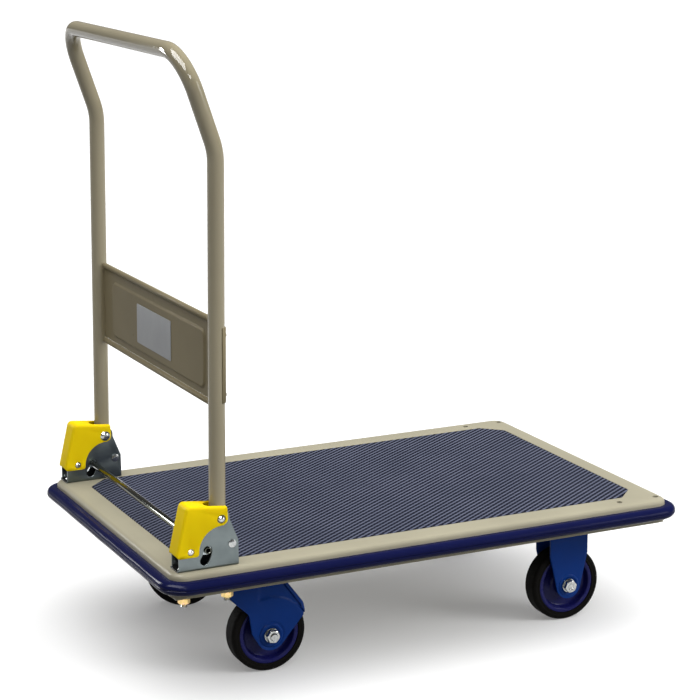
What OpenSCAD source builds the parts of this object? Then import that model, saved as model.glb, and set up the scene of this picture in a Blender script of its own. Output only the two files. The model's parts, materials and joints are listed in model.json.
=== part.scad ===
// Folding platform cart: a pressed steel deck on two swivel and two rigid casters, with a
// tubular push handle that folds down onto the deck when the foot bar is pressed.
// +X runs along the deck from the handle to the free end, +Y is the cart's left side and
// +Z is up. The origin is on the floor under the middle of the deck.

/* [Deck] */
// Length of the pressed deck without its bumper
deck_l = 874; // [780:2:1200]
// Width of the pressed deck without its bumper
deck_w = 574; // [500:2:800]
// Corner radius of the deck seen from above
corner_r = 24; // [22:1:40]
// Sheet thickness of the deck and of its under frame
sheet = 2; // [1.5:0.1:2.5]
// Outer bend radius between the deck's top and its skirt
edge_r = 8; // [5:0.5:10]
// Height of the skirt, from the deck's top to its lower lip
skirt_h = 38.5; // [37:0.5:40]
// Width of the lip that is folded inwards at the bottom of the skirt
flange_w = 7; // [4:0.5:9]
// Height of the deck and its under frame above the caster plates
frame_h = 42; // [41:0.5:60]

/* [Mat] */
// Length of the ribbed mat
mat_l = 798; // [700:2:820]
// Width of the ribbed mat
mat_w = 488; // [400:2:488]
// Size of the cut at each corner of the mat
mat_cut = 34; // [10:1:60]
// Thickness of the mat
mat_t = 2; // [1.8:0.1:4]
// Depth of the pressed recess that the mat lies in
mat_recess = 1.5; // [1:0.1:1.8]
// Distance of the mat's middle from the deck's middle, away from the handle
mat_shift = 4.5; // [0:0.5:8]

/* [Bumper] */
// How far the bumper stands out from the deck's skirt
bumper_t = 18; // [12:0.5:25]
// Height of the bumper
bumper_h = 20; // [14:0.5:22]
// Distance from the deck's top down to the bumper
bumper_drop = 10.5; // [9.5:0.5:14]
// Radius of the groove along the bumper's nose
bumper_groove = 1.2; // [0.8:0.1:2]

/* [Under frame] */
// Width of each lengthwise rail
rail_w = 22; // [20:1:26]
// Width of each cross channel that carries a pair of casters
channel_w = 116; // [110:1:140]

/* [Hinge] */
// Distance of each upright's centre from the cart's centre line
hinge_y = 261; // [220:1:262]
// Distance from the deck's handle end to the brackets
bracket_back = 12; // [10:1:30]
// Length of the bracket's side plates
bracket_l = 96.5; // [94:0.5:110]
// Thickness of the bracket's plates
plate_t = 2.5; // [2:0.1:3]
// Space between the upright and each side plate
side_gap = 0.3; // [0.2:0.05:0.8]
// Distance of the pivot from the bracket's end
pivot_dx = 69; // [67:0.5:71]
// Height of the pivot above the deck
pivot_h = 75.5; // [74:0.5:80]
// Height of the side plates' upright edge towards the deck's middle
bracket_front_h = 39; // [36:0.5:44]
// Radius of the ear round the pivot
ear_r = 14; // [12:0.5:15]
// Radius of the handle's pivot pin
pivot_r = 5; // [4:0.5:6]
// Radial running clearance of pins and axles
run_fit = 0.05; // [0.02:0.01:0.1]
// Radius of the pin that stops the uprights' lower ends
stop_r = 5; // [4:0.5:6]
// Height of the stop pin above the deck
stop_h = 34.5; // [34:0.5:36]

/* [Foot latch] */
// Distance of the latch pivot from the bracket's end
latch_dx = 19; // [17:0.5:21]
// Height of the latch pivot above the deck
latch_h = 30.5; // [29:0.5:33]
// Radius of the latch pivot bolt
latch_r = 3; // [2.5:0.5:4]
// Distance between the latch pivot and the foot bar
lever_l = 28; // [26:0.5:29]
// Angle of the latch levers below level when the latch is closed
lever_rest = 3; // [0:0.5:6]
// Angle that the foot bar swings down to release the handle
latch_travel = 33; // [30:1:34]
// Radius of the foot bar
bar_r = 5.5; // [5:0.25:6]
// Clearance between the foot bar and its slots
slot_gap = 1.5; // [1:0.25:2]
// Play between the stop pin and the uprights
stop_play = 0.3; // [0.2:0.05:0.6]
// Thickness of each latch lever
lever_t = 3; // [2:0.5:4]
// How far the foot bar stands out of each outer side plate
bar_out = 1.5; // [1:0.25:2.5]

/* [Hinge covers] */
// Wall thickness of the plastic covers
cover_t = 2.5; // [2:0.1:3]
// Space between a cover and its bracket
cover_gap = 0.2; // [0.15:0.05:0.5]
// Height of the cover's top above the deck
cover_top = 102; // [98:1:110]
// Fall of the cover's top from its back to its front
cover_fall = 10; // [6:0.5:12]
// Height of the cover's lower edge above the deck
cover_low = 22; // [20:0.5:24]
// How far the cover's lower edge stands out past the bracket's end
cover_back = 5; // [3:0.5:6]
// How far the cover's back leans in between its lower edge and its top
cover_lean = 19; // [14:0.5:20]
// Radius of the arc that leaves the bracket's side plates open
cover_arc = 38; // [36:0.5:40]

/* [Handle] */
// Outer diameter of the handle's tube
tube_d = 25.4; // [22:0.2:28]
// Wall thickness of the handle's tube
tube_t = 1.6; // [1.2:0.1:2.5]
// Forward lean of the upright handle
lean = 1; // [0:0.5:3]
// Length of the uprights below the pivot
tail_l = 41; // [40.5:0.25:42]
// Height of the bend in the uprights above the pivot
bend_h = 549.5; // [400:0.5:700]
// Angle by which the upper handle leans back towards the user
bend_angle = 19.5; // [5:0.5:30]
// Radius of that bend at the tube's centre
bend_r = 100; // [60:5:150]
// Length of the leaning part, from the bend to the top bar
slope_l = 151.5; // [110:0.5:200]
// Radius of the two upper corners at the tube's centre
top_r = 60; // [45:1:80]

/* [Handle panel] */
// Height of the panel's lower edge above the pivot
panel_low = 162; // [120:1:240]
// Height of the panel
panel_h = 137; // [110:1:180]
// Sheet thickness of the panel
panel_t = 1.5; // [1:0.1:2]
// Distance of the panel's face behind the uprights' centre line
panel_x = 5; // [3:0.5:7]
// Radius of the rolled upper and lower rims
rim_roll_r = 4.5; // [3.5:0.25:5]
// Width of the plain border above and below the raised field
field_border = 22.5; // [20:0.5:30]
// Distance from each upright's centre to the raised field
field_end = 56; // [30:1:70]
// How far the field is raised
field_raise = 2.5; // [1.5:0.25:3.5]
// Length of the blank plate
blank_l = 152; // [100:1:160]
// Height of the blank plate
blank_h = 64; // [40:1:70]
// Thickness of the blank plate
blank_t = 0.8; // [0.4:0.1:1]
// Distance of the blank plate from the cart's centre line
blank_y = 8; // [0:1:20]
// Radius of the panel's rivets
rivet_r = 2.4; // [2:0.1:3]

/* [Fasteners] */
// Distance between the two bolts of each bracket, along the deck
bolt_pitch = 70; // [66:1:72]
// Distance from the bracket's end to its first bolt
bolt_dx = 11; // [10:0.5:12]
// Outward shift of the bracket bolts from the uprights' centre line
bolt_out = 4; // [2:0.5:4]
// Radius of the bracket bolts
bolt_r = 5; // [4:0.25:5]
// Distance from the deck's free end to the middle of the spare holes
spare_dx = 50; // [48:1:80]
// Radial clearance of the bolt holes
bolt_gap = 0.25; // [0.1:0.05:0.5]
// Radius of the caster plate bolts
plate_bolt_r = 4; // [3:0.25:4]

/* [Wheels] */
// Radius of the wheels over their tyres
wheel_r = 62.5; // [55:0.5:65]
// Width of the tyres
tyre_w = 32; // [26:1:34]
// Radius of the wheel centres under the tyres
core_r = 50; // [46:0.5:53]
// Rounding of the tyres' shoulders
tyre_round = 6; // [3:0.5:8]
// Width of the wheel centre at its hub
hub_w = 40; // [36:1:42]
// Outer radius of the hub
hub_r = 18; // [16:0.5:22]
// Radius of the axle bolts
axle_r = 6; // [5:0.5:7]
// Wall thickness of the hub bushes
bush_t = 2; // [1.5:0.25:3]

/* [Casters] */
// Height of the casters, from the floor to the top of their plates
caster_h = 171; // [168:1:190]
// Thickness of the caster plates
top_plate_t = 3.5; // [3:0.5:5]
// Length of the caster plates
top_plate_l = 105; // [100:1:110]
// Width of the caster plates
top_plate_w = 86; // [80:1:95]
// Bolt spacing of the caster plates along the cart
plate_pitch_x = 80; // [76:1:84]
// Bolt spacing of the caster plates across the cart
plate_pitch_y = 64; // [62:1:70]
// Thickness of the forks' legs
fork_t = 3; // [2.5:0.5:4]
// Space between the hub and each leg
hub_gap = 1; // [0.8:0.1:2]
// Radius of the round boss at the foot of each leg
boss_r = 22.5; // [20:0.5:25]
// Distance of the swivel axis from the cart's middle
swivel_x = 284; // [250:1:330]
// Distance of the axle behind the swivel axis
trail = 37; // [30:0.5:40]
// Distance of the swivel casters from the cart's centre line
swivel_y = 182; // [150:1:200]
// Distance of the rigid casters' axle from the cart's middle
rigid_x = 290; // [250:1:330]
// Distance of the rigid casters from the cart's centre line
rigid_y = 188; // [150:1:200]
// Width of the rigid fork's legs at their top
rigid_leg_w = 71; // [60:1:80]
// Radius of the swivel head
head_r = 36; // [34:0.5:38]
// Radius of the bearing balls
ball_r = 4; // [3:0.25:4]
// Radius of the ball circle
ball_ring_r = 25; // [23:0.5:27]
// Number of balls in each bearing
ball_n = 18; // [8:1:19]
// How far the left swivel caster stands turned in its bearing, in degrees
left_turn = 40; // [0:20:80]

/* [Hidden] */
$fn = 72;

eps = 0.02;
hull_fn = 32;

// Heights of the deck and of what hangs under it
deck_z = caster_h + frame_h;
lip_z = deck_z - skirt_h;
bed_z = deck_z - mat_recess - sheet;
mat_gap = 0.5;
bumper_z = deck_z - bumper_drop - bumper_h;
bumper_gap = 0.2;
border_w = corner_r - 4;
rail_y = hinge_y + bolt_out;
rail_wall_l = deck_l - 27;
rail_floor_l = deck_l - 12;
channel_l = 2*(rail_y - rail_w/2);

// The hinge at the handle's foot
tube_r = tube_d/2;
bracket_x = -deck_l/2 + bracket_back;
pivot_x = bracket_x + pivot_dx;
pivot_z = deck_z + pivot_h;
latch_x = bracket_x + latch_dx;
latch_z = deck_z + latch_h;
half_in = tube_r + side_gap;
half_out = half_in + plate_t;
cover_in = half_out + cover_gap;
cover_out = cover_in + cover_t;
bracket_web_back = 2;

// The foot bar at rest
bar_x = latch_x + lever_l*cos(lever_rest);
bar_z = latch_z - lever_l*sin(lever_rest);
slot_w = 2*(bar_r + slot_gap);
bar_l = 2*(hinge_y + half_out + bar_out);
lever_eye_r = bar_r + 1.7;
lever_y = half_in - 0.6 - lever_t;
spring_wire_r = 0.8;
spring_turns = 5;

// The stop pin touches the other side of the uprights
stop_z = deck_z + stop_h;
stop_x = pivot_x - (pivot_z - stop_z)*tan(lean) + (tube_r + stop_play + stop_r)/cos(lean);

// Bolts of the brackets and the spare holes at the free end
bolt_x = [bracket_x + bolt_dx, bracket_x + bolt_dx + bolt_pitch];
spare_x = [deck_l/2 - spare_dx - bolt_pitch/2, deck_l/2 - spare_dx + bolt_pitch/2];
bolt_head_r = 8.5;
bolt_head_h = 4;
washer_t = 1.5;
washer_r = 9.5;
nut_af = 17;
nut_h = 8;
bolt_tip = 7;

// The bushes in the uprights, and the plugs that close their ends
bush_wall = 1.5;
plug_flange = 1.8;
plug_in = 16;

// The handle's bend
bend_cut = bend_r*tan(bend_angle/2);
bend_step = 0.05;
panel_z = panel_low + panel_h/2;
field_z = panel_z - 2;
saddle_low = panel_low + 14;
saddle_h = panel_h - 23;
rivet_z = [panel_low + 25, panel_low + panel_h - 22];
saddle_gap = 0.05;
rivet_gap = 0.2;
saddle_r = tube_r + saddle_gap + panel_t;
sheet_end = hinge_y - sqrt(pow(tube_r + saddle_gap, 2) - panel_x*panel_x) - 0.2;

// Casters
leg_in = hub_w/2 + hub_gap;
leg_out = leg_in + fork_t;
crown_z = caster_h - top_plate_t - 2*ball_r - 6.5;
crown_t = fork_t;
race_t = 2.3;
race_in = ball_ring_r - 6;
race_out = ball_ring_r + 6;
ball_z = crown_z + race_t + ball_r;
play = 0.3;
king_r = 6;
king_head_r = 12;
king_head_h = 4;
dust_drop = 5;
dust_t = 2;
swivel_hub_x = -swivel_x + trail;
bush_r = axle_r + run_fit + bush_t;
bush_l = hub_w/2 - 4;
axle_af = 19;
axle_head_h = 7.5;
boss_h = 1.2;
plate_nut_af = 13;
plate_nut_h = 6.5;

// ---------------------------------------------------------------- shared shapes

// Both sides of the cart
module both_sides() {
    children();
    mirror([0, 1, 0]) children();
}

// An outline drawn in X and Z, as a plate between two planes across the cart
module plate_y(y0, y1) {
    translate([0, y1, 0]) rotate([90, 0, 0]) linear_extrude(y1 - y0) children();
}

// A round bar across the cart
module bar_y(r, y0, y1) {
    translate([0, y0, 0]) rotate([-90, 0, 0]) cylinder(r = r, h = y1 - y0);
}

// A hexagon across the cart
module hex_y(af, y0, y1) {
    translate([0, y0, 0]) rotate([-90, 0, 0]) cylinder(r = af/2/cos(30), h = y1 - y0, $fn = 6);
}

// A low domed head that stands on the XY plane
module dome(r, h) {
    ball = (r*r + h*h)/(2*h);
    intersection() {
        translate([0, 0, h - ball]) sphere(ball);
        cylinder(r = r, h = h);
    }
}

// A domed head whose flat side is at y and whose dome points to +Y
module dome_y(r, h, y) {
    translate([0, y, 0]) rotate([-90, 0, 0]) dome(r, h);
}

module rounded_rect(l, w, r) {
    square([l - 2*r, w], center = true);
    square([l, w - 2*r], center = true);
    for (x = [-1, 1], y = [-1, 1]) translate([x*(l/2 - r), y*(w/2 - r)]) circle(r);
}

// A rectangle with cut corners, grown by e on every side
module cut_rect(l, w, cut, e = 0) {
    x = l/2 + e;
    y = w/2 + e;
    c = cut + e*(2 - sqrt(2));
    polygon([[x - c, y], [x, y - c], [x, c - y], [x - c, -y],
        [c - x, -y], [-x, c - y], [-x, y - c], [c - x, y]]);
}

// Carries a profile round a rounded rectangle. The profile's X counts outwards from the
// rectangle's edge and its Y is the height.
module frame_sweep(l, w, r) {
    for (turn = [0, 180]) rotate([0, 0, turn]) {
        translate([r - l/2, w/2, 0]) rotate([90, 0, 90]) linear_extrude(l - 2*r) children();
        translate([l/2, w/2 - r, 0]) rotate([90, 0, 0]) linear_extrude(w - 2*r) children();
        translate([l/2 - r, w/2 - r, 0]) rotate_extrude(angle = 90) translate([r, 0]) children();
        translate([r - l/2, w/2 - r, 0]) rotate([0, 0, 90]) rotate_extrude(angle = 90)
            translate([r, 0]) children();
    }
}

// ---------------------------------------------------------------- deck

module skirt_profile() {
    translate([-sheet, lip_z]) square([sheet, deck_z - edge_r - lip_z]);
    translate([-flange_w, lip_z]) square([flange_w, sheet]);
    translate([-border_w, deck_z - sheet]) square([border_w - edge_r, sheet]);
    translate([-edge_r, deck_z - edge_r]) intersection() {
        difference() {
            circle(edge_r);
            circle(edge_r - sheet);
        }
        square(edge_r);
    }
}

module hole_places(xs) {
    for (x = xs, y = [-rail_y, rail_y]) translate([x, y, 0]) children();
}

module deck_pan() {
    color([0.74, 0.72, 0.64]) difference() {
        union() {
            frame_sweep(deck_l, deck_w, corner_r) skirt_profile();
            translate([0, 0, deck_z - sheet]) linear_extrude(sheet) difference() {
                rounded_rect(deck_l - 2*border_w + 2*eps, deck_w - 2*border_w + 2*eps, corner_r - border_w);
                translate([mat_shift, 0]) cut_rect(mat_l, mat_w, mat_cut, mat_gap);
            }
            translate([mat_shift, 0, bed_z]) linear_extrude(sheet) cut_rect(mat_l, mat_w, mat_cut, mat_gap + sheet);
        }
        hole_places(concat(bolt_x, spare_x)) translate([0, 0, bed_z]) cylinder(r = bolt_r + bolt_gap, h = 10);
    }
}

module side_rails() {
    color([0.62, 0.61, 0.55]) both_sides() translate([0, rail_y, 0]) difference() {
        union() {
            translate([0, 0, caster_h + sheet/2]) cube([rail_floor_l, rail_w, sheet], center = true);
            for (side = [-1, 1]) translate([-rail_wall_l/2, side*(rail_w - sheet)/2 - sheet/2, caster_h])
                cube([rail_wall_l, sheet, frame_h - sheet]);
        }
        for (x = concat(bolt_x, spare_x)) translate([x, 0, caster_h - 1]) cylinder(r = bolt_r + bolt_gap, h = 4);
    }
}

module channel(x) {
    translate([x, 0, 0]) difference() {
        union() {
            translate([0, 0, caster_h + sheet/2]) cube([channel_w, channel_l, sheet], center = true);
            for (side = [-1, 1]) translate([side*(channel_w - sheet)/2 - sheet/2, -channel_l/2, caster_h])
                cube([sheet, channel_l, bed_z - caster_h]);
        }
        children();
    }
}

module plate_holes(y, r) {
    for (side = [-1, 1], px = [-1, 1], py = [-1, 1])
        translate([px*plate_pitch_x/2, side*y + py*plate_pitch_y/2, caster_h - 20]) cylinder(r = r, h = 30);
}

module caster_channels() {
    color([0.62, 0.61, 0.55]) {
        channel(-swivel_x) plate_holes(swivel_y, plate_bolt_r + bolt_gap);
        channel(rigid_x) plate_holes(rigid_y, plate_bolt_r + bolt_gap);
    }
}

module platform_mat() {
    color([0.27, 0.28, 0.38]) translate([mat_shift, 0, bed_z + sheet]) linear_extrude(mat_t)
        cut_rect(mat_l, mat_w, mat_cut);
}

// The bumper is a D-shaped strip with a groove along its nose
module bumper_profile() {
    nose = bumper_h/2;
    difference() {
        intersection() {
            union() {
                translate([0, bumper_z]) square([bumper_t - nose, bumper_h]);
                translate([bumper_t - nose, bumper_z + nose]) circle(nose);
            }
            translate([bumper_gap, bumper_z]) square([bumper_t, bumper_h]);
        }
        translate([bumper_t + bumper_groove*0.3, bumper_z + nose]) circle(bumper_groove);
    }
}

module bumper() {
    color([0.07, 0.08, 0.22]) frame_sweep(deck_l, deck_w, corner_r) bumper_profile();
}

// ---------------------------------------------------------------- hinge brackets

// The side plate's outline: a low back, an ear round the pivot and a slanting front
module side_plate() {
    front_x = bracket_x + bracket_l;
    difference() {
        union() {
            polygon([[bracket_x, deck_z], [front_x, deck_z], [front_x, deck_z + bracket_front_h],
                [pivot_x + ear_r, pivot_z], [pivot_x - ear_r, pivot_z],
                [bracket_x + 9, latch_z + 22], [bracket_x, latch_z + 2]]);
            translate([pivot_x, pivot_z]) circle(ear_r);
        }
        translate([pivot_x, pivot_z]) circle(pivot_r + run_fit);
        translate([latch_x, latch_z]) circle(latch_r + run_fit);
        translate([stop_x, stop_z]) circle(stop_r);
        latch_slot();
    }
}

// A curved slot with round ends about the latch pivot, for the foot bar
module latch_slot() {
    start = -lever_rest;
    end = -lever_rest - latch_travel - 2;
    w = slot_w/2;
    n = 12;
    translate([latch_x, latch_z]) polygon(concat(
        [for (i = [0:n]) turned(start + (end - start)*i/n, lever_l + w)],
        [for (i = [1:n - 1]) turned(end, lever_l) + turned(end - 180*i/n, w)],
        [for (i = [0:n]) turned(end + (start - end)*i/n, lever_l - w)],
        [for (i = [1:n - 1]) turned(start, lever_l) + turned(start - 180 - 180*i/n, w)]));
}

// The point at an angle and a distance
function turned(a, r) = [r*cos(a), r*sin(a)];

module hinge_bracket() {
    color([0.55, 0.58, 0.6]) difference() {
        union() {
            for (y = [hinge_y - half_out, hinge_y + half_in]) plate_y(y, y + plate_t) side_plate();
            translate([bracket_x - bracket_web_back, hinge_y - half_out, deck_z])
                cube([bracket_l + bracket_web_back, 2*half_out, plate_t]);
        }
        for (x = bolt_x) translate([x, rail_y, deck_z - 1]) cylinder(r = bolt_r + bolt_gap, h = plate_t + 2);
    }
}

module hinge_bracket_left() hinge_bracket();
module hinge_bracket_right() mirror([0, 1, 0]) hinge_bracket();

module bracket_bolts() {
    under = frame_h + washer_t + nut_h + bolt_tip;
    color([0.8, 0.8, 0.76]) both_sides() for (x = bolt_x) translate([x, rail_y, deck_z]) {
        translate([0, 0, plate_t]) dome(bolt_head_r, bolt_head_h);
        translate([0, 0, -under]) cylinder(r = bolt_r, h = under + plate_t + eps);
    }
}

module bracket_washers() {
    color([0.85, 0.72, 0.35]) both_sides() for (x = bolt_x)
        translate([x, rail_y, caster_h - washer_t]) difference() {
            cylinder(r = washer_r, h = washer_t);
            translate([0, 0, -1]) cylinder(r = bolt_r, h = washer_t + 2);
        }
}

module bracket_nuts() {
    color([0.88, 0.7, 0.3]) both_sides() for (x = bolt_x)
        translate([x, rail_y, caster_h - washer_t - nut_h]) difference() {
            intersection() {
                cylinder(r = nut_af/2/cos(30), h = nut_h, $fn = 6);
                translate([0, 0, nut_h/2]) sphere(nut_af*0.6);
            }
            translate([0, 0, -1]) cylinder(r = bolt_r, h = nut_h + 2);
        }
}

module stop_pins() {
    head_r = stop_r + 1.2;
    color([0.75, 0.76, 0.76]) both_sides() translate([stop_x, 0, stop_z]) {
        bar_y(stop_r, hinge_y - half_out, hinge_y + half_out);
        dome_y(head_r, 2.5, hinge_y + half_out);
        mirror([0, 1, 0]) dome_y(head_r, 2.5, half_out - hinge_y);
    }
}

// The pivot pin has a wide domed head on the inner side and a small cap outside
module pivot_pins() {
    color([0.82, 0.83, 0.84]) both_sides() translate([pivot_x, 0, pivot_z]) {
        bar_y(pivot_r, hinge_y - cover_out - eps, hinge_y + cover_out + 1);
        mirror([0, 1, 0]) dome_y(pivot_r + 3.5, 4.5, cover_out - hinge_y);
    }
}

module pivot_caps() {
    cap_h = 4;
    color([0.82, 0.83, 0.84]) both_sides() translate([pivot_x, 0, pivot_z]) difference() {
        dome_y(pivot_r + 1, cap_h, hinge_y + cover_out);
        bar_y(pivot_r, hinge_y + cover_out - 1, hinge_y + cover_out + 1);
    }
}

module latch_bolts() {
    color([0.7, 0.7, 0.68]) both_sides() translate([latch_x, 0, latch_z]) {
        bar_y(latch_r, hinge_y - cover_out - eps, hinge_y + cover_out + 1);
        mirror([0, 1, 0]) dome_y(latch_r + 1.8, 2.8, cover_out - hinge_y);
    }
}

module latch_caps() {
    color([0.7, 0.7, 0.68]) both_sides() translate([latch_x, 0, latch_z]) difference() {
        dome_y(latch_r + 1.8, 2.8, hinge_y + cover_out);
        bar_y(latch_r, hinge_y + cover_out - 1, hinge_y + cover_out + 1);
    }
}

// ---------------------------------------------------------------- hinge covers

module cover_outline() {
    difference() {
        union() {
            polygon([[bracket_x - cover_back, deck_z + cover_low],
                [pivot_x, deck_z + cover_low], [pivot_x, pivot_z],
                [pivot_x + ear_r - 4, pivot_z], [pivot_x + ear_r - 5, deck_z + cover_top - cover_fall],
                [bracket_x - cover_back + cover_lean, deck_z + cover_top]]);
            translate([pivot_x, pivot_z]) circle(ear_r - 3.5, $fn = hull_fn);
        }
        translate([pivot_x + 1, pivot_z - 10 - cover_arc]) circle(cover_arc, $fn = 64);
    }
}

// The same outline with its corners rounded, d smaller on every side
module soft_cover_outline(d = 0) {
    round = 5;
    offset(r = round - d, $fn = hull_fn) offset(delta = -round) cover_outline();
}

module hinge_cover() {
    slot_r = tube_r + 1.2;
    top_z = deck_z + cover_top;
    color([0.93, 0.8, 0.1]) difference() {
        intersection() {
            plate_y(hinge_y - cover_out, hinge_y + cover_out) soft_cover_outline();
            // rounds the upper edges along the cover's sides
            translate([bracket_x - 20, hinge_y, 0]) rotate([90, 0, 90]) linear_extrude(bracket_l + 40)
                union() {
                    translate([-cover_out, deck_z]) square([2*cover_out, cover_top - 4]);
                    translate([4 - cover_out, deck_z]) square([2*cover_out - 8, cover_top]);
                    for (side = [-1, 1]) translate([side*(cover_out - 4), top_z - 4]) circle(4);
                }
        }
        plate_y(hinge_y - cover_in, hinge_y + cover_in) union() {
            soft_cover_outline(cover_t);
            translate([pivot_x - 40, pivot_z - 60]) square([80, 57]);
            translate([pivot_x - 5, deck_z]) square([60, cover_top - cover_fall - cover_t]);
            translate([bracket_x + 2 - cover_back, deck_z]) square([60, cover_low + 12]);
        }
        // the mouth in the cover's top that the upright passes and swings through
        translate([pivot_x - 14, hinge_y, top_z - 24]) cylinder(r = slot_r, h = 30);
        translate([pivot_x - 14, hinge_y - slot_r, top_z - 24]) cube([60, 2*slot_r, 30]);
        translate([pivot_x, 0, pivot_z]) bar_y(pivot_r + run_fit, hinge_y - 30, hinge_y + 30);
        translate([latch_x, 0, latch_z]) bar_y(latch_r + run_fit, hinge_y - 30, hinge_y + 30);
    }
}

module hinge_cover_left() hinge_cover();
module hinge_cover_right() mirror([0, 1, 0]) hinge_cover();

// ---------------------------------------------------------------- foot latch

module lever_outline() {
    hull() {
        translate([latch_x, latch_z]) circle(6.5, $fn = hull_fn);
        translate([bar_x, bar_z]) circle(lever_eye_r, $fn = hull_fn);
    }
}

// Two cheeks on a sleeve round the latch bolt
module latch_lever() {
    color([0.6, 0.62, 0.64]) difference() {
        union() {
            for (y = [hinge_y - lever_y - lever_t, hinge_y + lever_y]) plate_y(y, y + lever_t) lever_outline();
            translate([latch_x, 0, latch_z]) bar_y(latch_r + run_fit + 1.4, hinge_y - lever_y, hinge_y + lever_y);
        }
        translate([latch_x, 0, latch_z]) bar_y(latch_r + run_fit, hinge_y - 30, hinge_y + 30);
        translate([bar_x, 0, bar_z]) bar_y(bar_r, hinge_y - 30, hinge_y + 30);
    }
}

module latch_lever_left() latch_lever();
module latch_lever_right() mirror([0, 1, 0]) latch_lever();

// A coil round the lever's sleeve, with one leg that rests on the bracket's floor
module latch_springs() {
    coil_r = latch_r + run_fit + 1.4 + 0.3 + spring_wire_r;
    pitch = 2*spring_wire_r + 0.05;
    first_y = hinge_y - pitch*(spring_turns - 1)/2;
    color([0.5, 0.5, 0.52]) both_sides() translate([latch_x, 0, latch_z]) {
        for (turn = [0:spring_turns - 1]) translate([0, first_y + pitch*turn, 0]) rotate([-90, 0, 0])
            rotate_extrude() translate([coil_r, 0]) circle(spring_wire_r);
        translate([coil_r, first_y, plate_t - latch_h])
            cylinder(r = spring_wire_r - 0.1, h = latch_h - plate_t);
    }
}

module foot_bar() {
    color([0.9, 0.9, 0.9]) translate([bar_x, 0, bar_z]) difference() {
        bar_y(bar_r, -bar_l/2, bar_l/2);
        for (side = [-1, 1]) scale([1, side, 1]) bar_y(bar_r - 2, bar_l/2 - 12, bar_l/2 + 1);
    }
}

// ---------------------------------------------------------------- handle

// The handle's own frame: origin on the pivot axis, +Z along the uprights
module handle_frame() {
    translate([pivot_x, 0, pivot_z]) rotate([0, lean, 0]) children();
}

// A bar of radius r along the handle's centre line. Above the bend it is thinner by a hair,
// so that its two parts meet in a clean ring.
module handle_path(r) {
    up = r - bend_step;
    both_sides() {
        translate([0, hinge_y, -tail_l]) cylinder(r = r, h = tail_l + bend_h - bend_cut);
        translate([-bend_r, hinge_y, bend_h - bend_cut]) rotate([90, 0, 0])
            rotate_extrude(angle = bend_angle) translate([bend_r, 0]) circle(r);
    }
    translate([0, 0, bend_h]) rotate([0, -bend_angle, 0]) {
        both_sides() {
            translate([0, hinge_y, bend_cut - 1]) cylinder(r = up, h = slope_l - top_r - bend_cut + 1);
            translate([0, hinge_y - top_r, slope_l - top_r]) rotate([90, 0, 90])
                rotate_extrude(angle = 90) translate([top_r, 0]) circle(up);
        }
        translate([0, 0, slope_l]) bar_y(up, top_r - hinge_y, hinge_y - top_r);
    }
}

module handle_tube() {
    color([0.62, 0.58, 0.47]) handle_frame() difference() {
        handle_path(tube_r);
        handle_path(tube_r - tube_t);
        for (side = [-1, 1]) {
            translate([0, side*hinge_y, -tail_l - 5]) cylinder(r = tube_r - tube_t, h = 10);
            bar_y(pivot_r + run_fit + bush_wall, side*hinge_y - 20, side*hinge_y + 20);
            for (z = rivet_z) translate([0, side*hinge_y, z]) rotate([0, 90, 0]) cylinder(r = rivet_r, h = 20);
        }
    }
}

// A sleeve through each upright for the pivot pin
module pivot_bushes() {
    half = tube_r + side_gap/2;
    color([0.8, 0.78, 0.7]) handle_frame() both_sides() difference() {
        bar_y(pivot_r + run_fit + bush_wall, hinge_y - half, hinge_y + half);
        bar_y(pivot_r + run_fit, hinge_y - half - 1, hinge_y + half + 1);
    }
}

module tube_plugs() {
    color([0.1, 0.1, 0.1]) handle_frame() both_sides() translate([0, hinge_y, -tail_l]) {
        translate([0, 0, -plug_flange]) cylinder(r = tube_r, h = plug_flange);
        cylinder(r = tube_r - tube_t, h = plug_in);
    }
}

// A pressed sheet with rolled rims and a raised field, whose ends clasp the uprights
module handle_panel() {
    field_l = 2*(hinge_y - field_end);
    field_h = panel_h - 2*field_border;
    roll_l = 2*(hinge_y - tube_r - 1.5);
    color([0.6, 0.56, 0.46]) handle_frame() difference() {
        union() {
            translate([panel_x, -sheet_end, panel_low + rim_roll_r]) cube([panel_t, 2*sheet_end, panel_h - 2*rim_roll_r]);
            for (z = [panel_low + rim_roll_r, panel_low + panel_h - rim_roll_r])
                translate([panel_x, 0, z]) bar_y(rim_roll_r, -roll_l/2, roll_l/2);
            translate([panel_x - field_raise, 0, field_z]) rotate([90, 0, 90])
                linear_extrude(field_raise + panel_t) rounded_rect(field_l, field_h, 12);
            both_sides() translate([0, hinge_y, saddle_low]) difference() {
                cylinder(r = saddle_r, h = saddle_h);
                translate([0, 0, -1]) cylinder(r = tube_r + saddle_gap, h = panel_h);
                translate([-40 + panel_x, -20, -1]) cube([40, 40, panel_h]);
            }
        }
        for (z = [panel_low + rim_roll_r, panel_low + panel_h - rim_roll_r])
            translate([panel_x, 0, z]) bar_y(rim_roll_r - panel_t, -roll_l/2 - 1, roll_l/2 + 1);
        translate([panel_x - field_raise + panel_t, 0, field_z]) rotate([90, 0, 90])
            linear_extrude(field_raise + 1) rounded_rect(field_l - 2*panel_t, field_h - 2*panel_t, 12 - panel_t);
        for (side = [-1, 1], z = rivet_z) translate([tube_r - tube_t, side*hinge_y, z]) rotate([0, 90, 0])
            cylinder(r = rivet_r + rivet_gap, h = tube_r);
    }
}

module panel_rivets() {
    color([0.62, 0.58, 0.47]) handle_frame() for (side = [-1, 1], z = rivet_z)
        translate([tube_r - tube_t - 1.5, side*hinge_y, z]) rotate([0, 90, 0]) {
            cylinder(r = rivet_r, h = saddle_r - tube_r + tube_t + 1.5 + eps);
            translate([0, 0, saddle_r - tube_r + tube_t + 1.5]) dome(rivet_r + 1.6, 1.8);
        }
}

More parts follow.
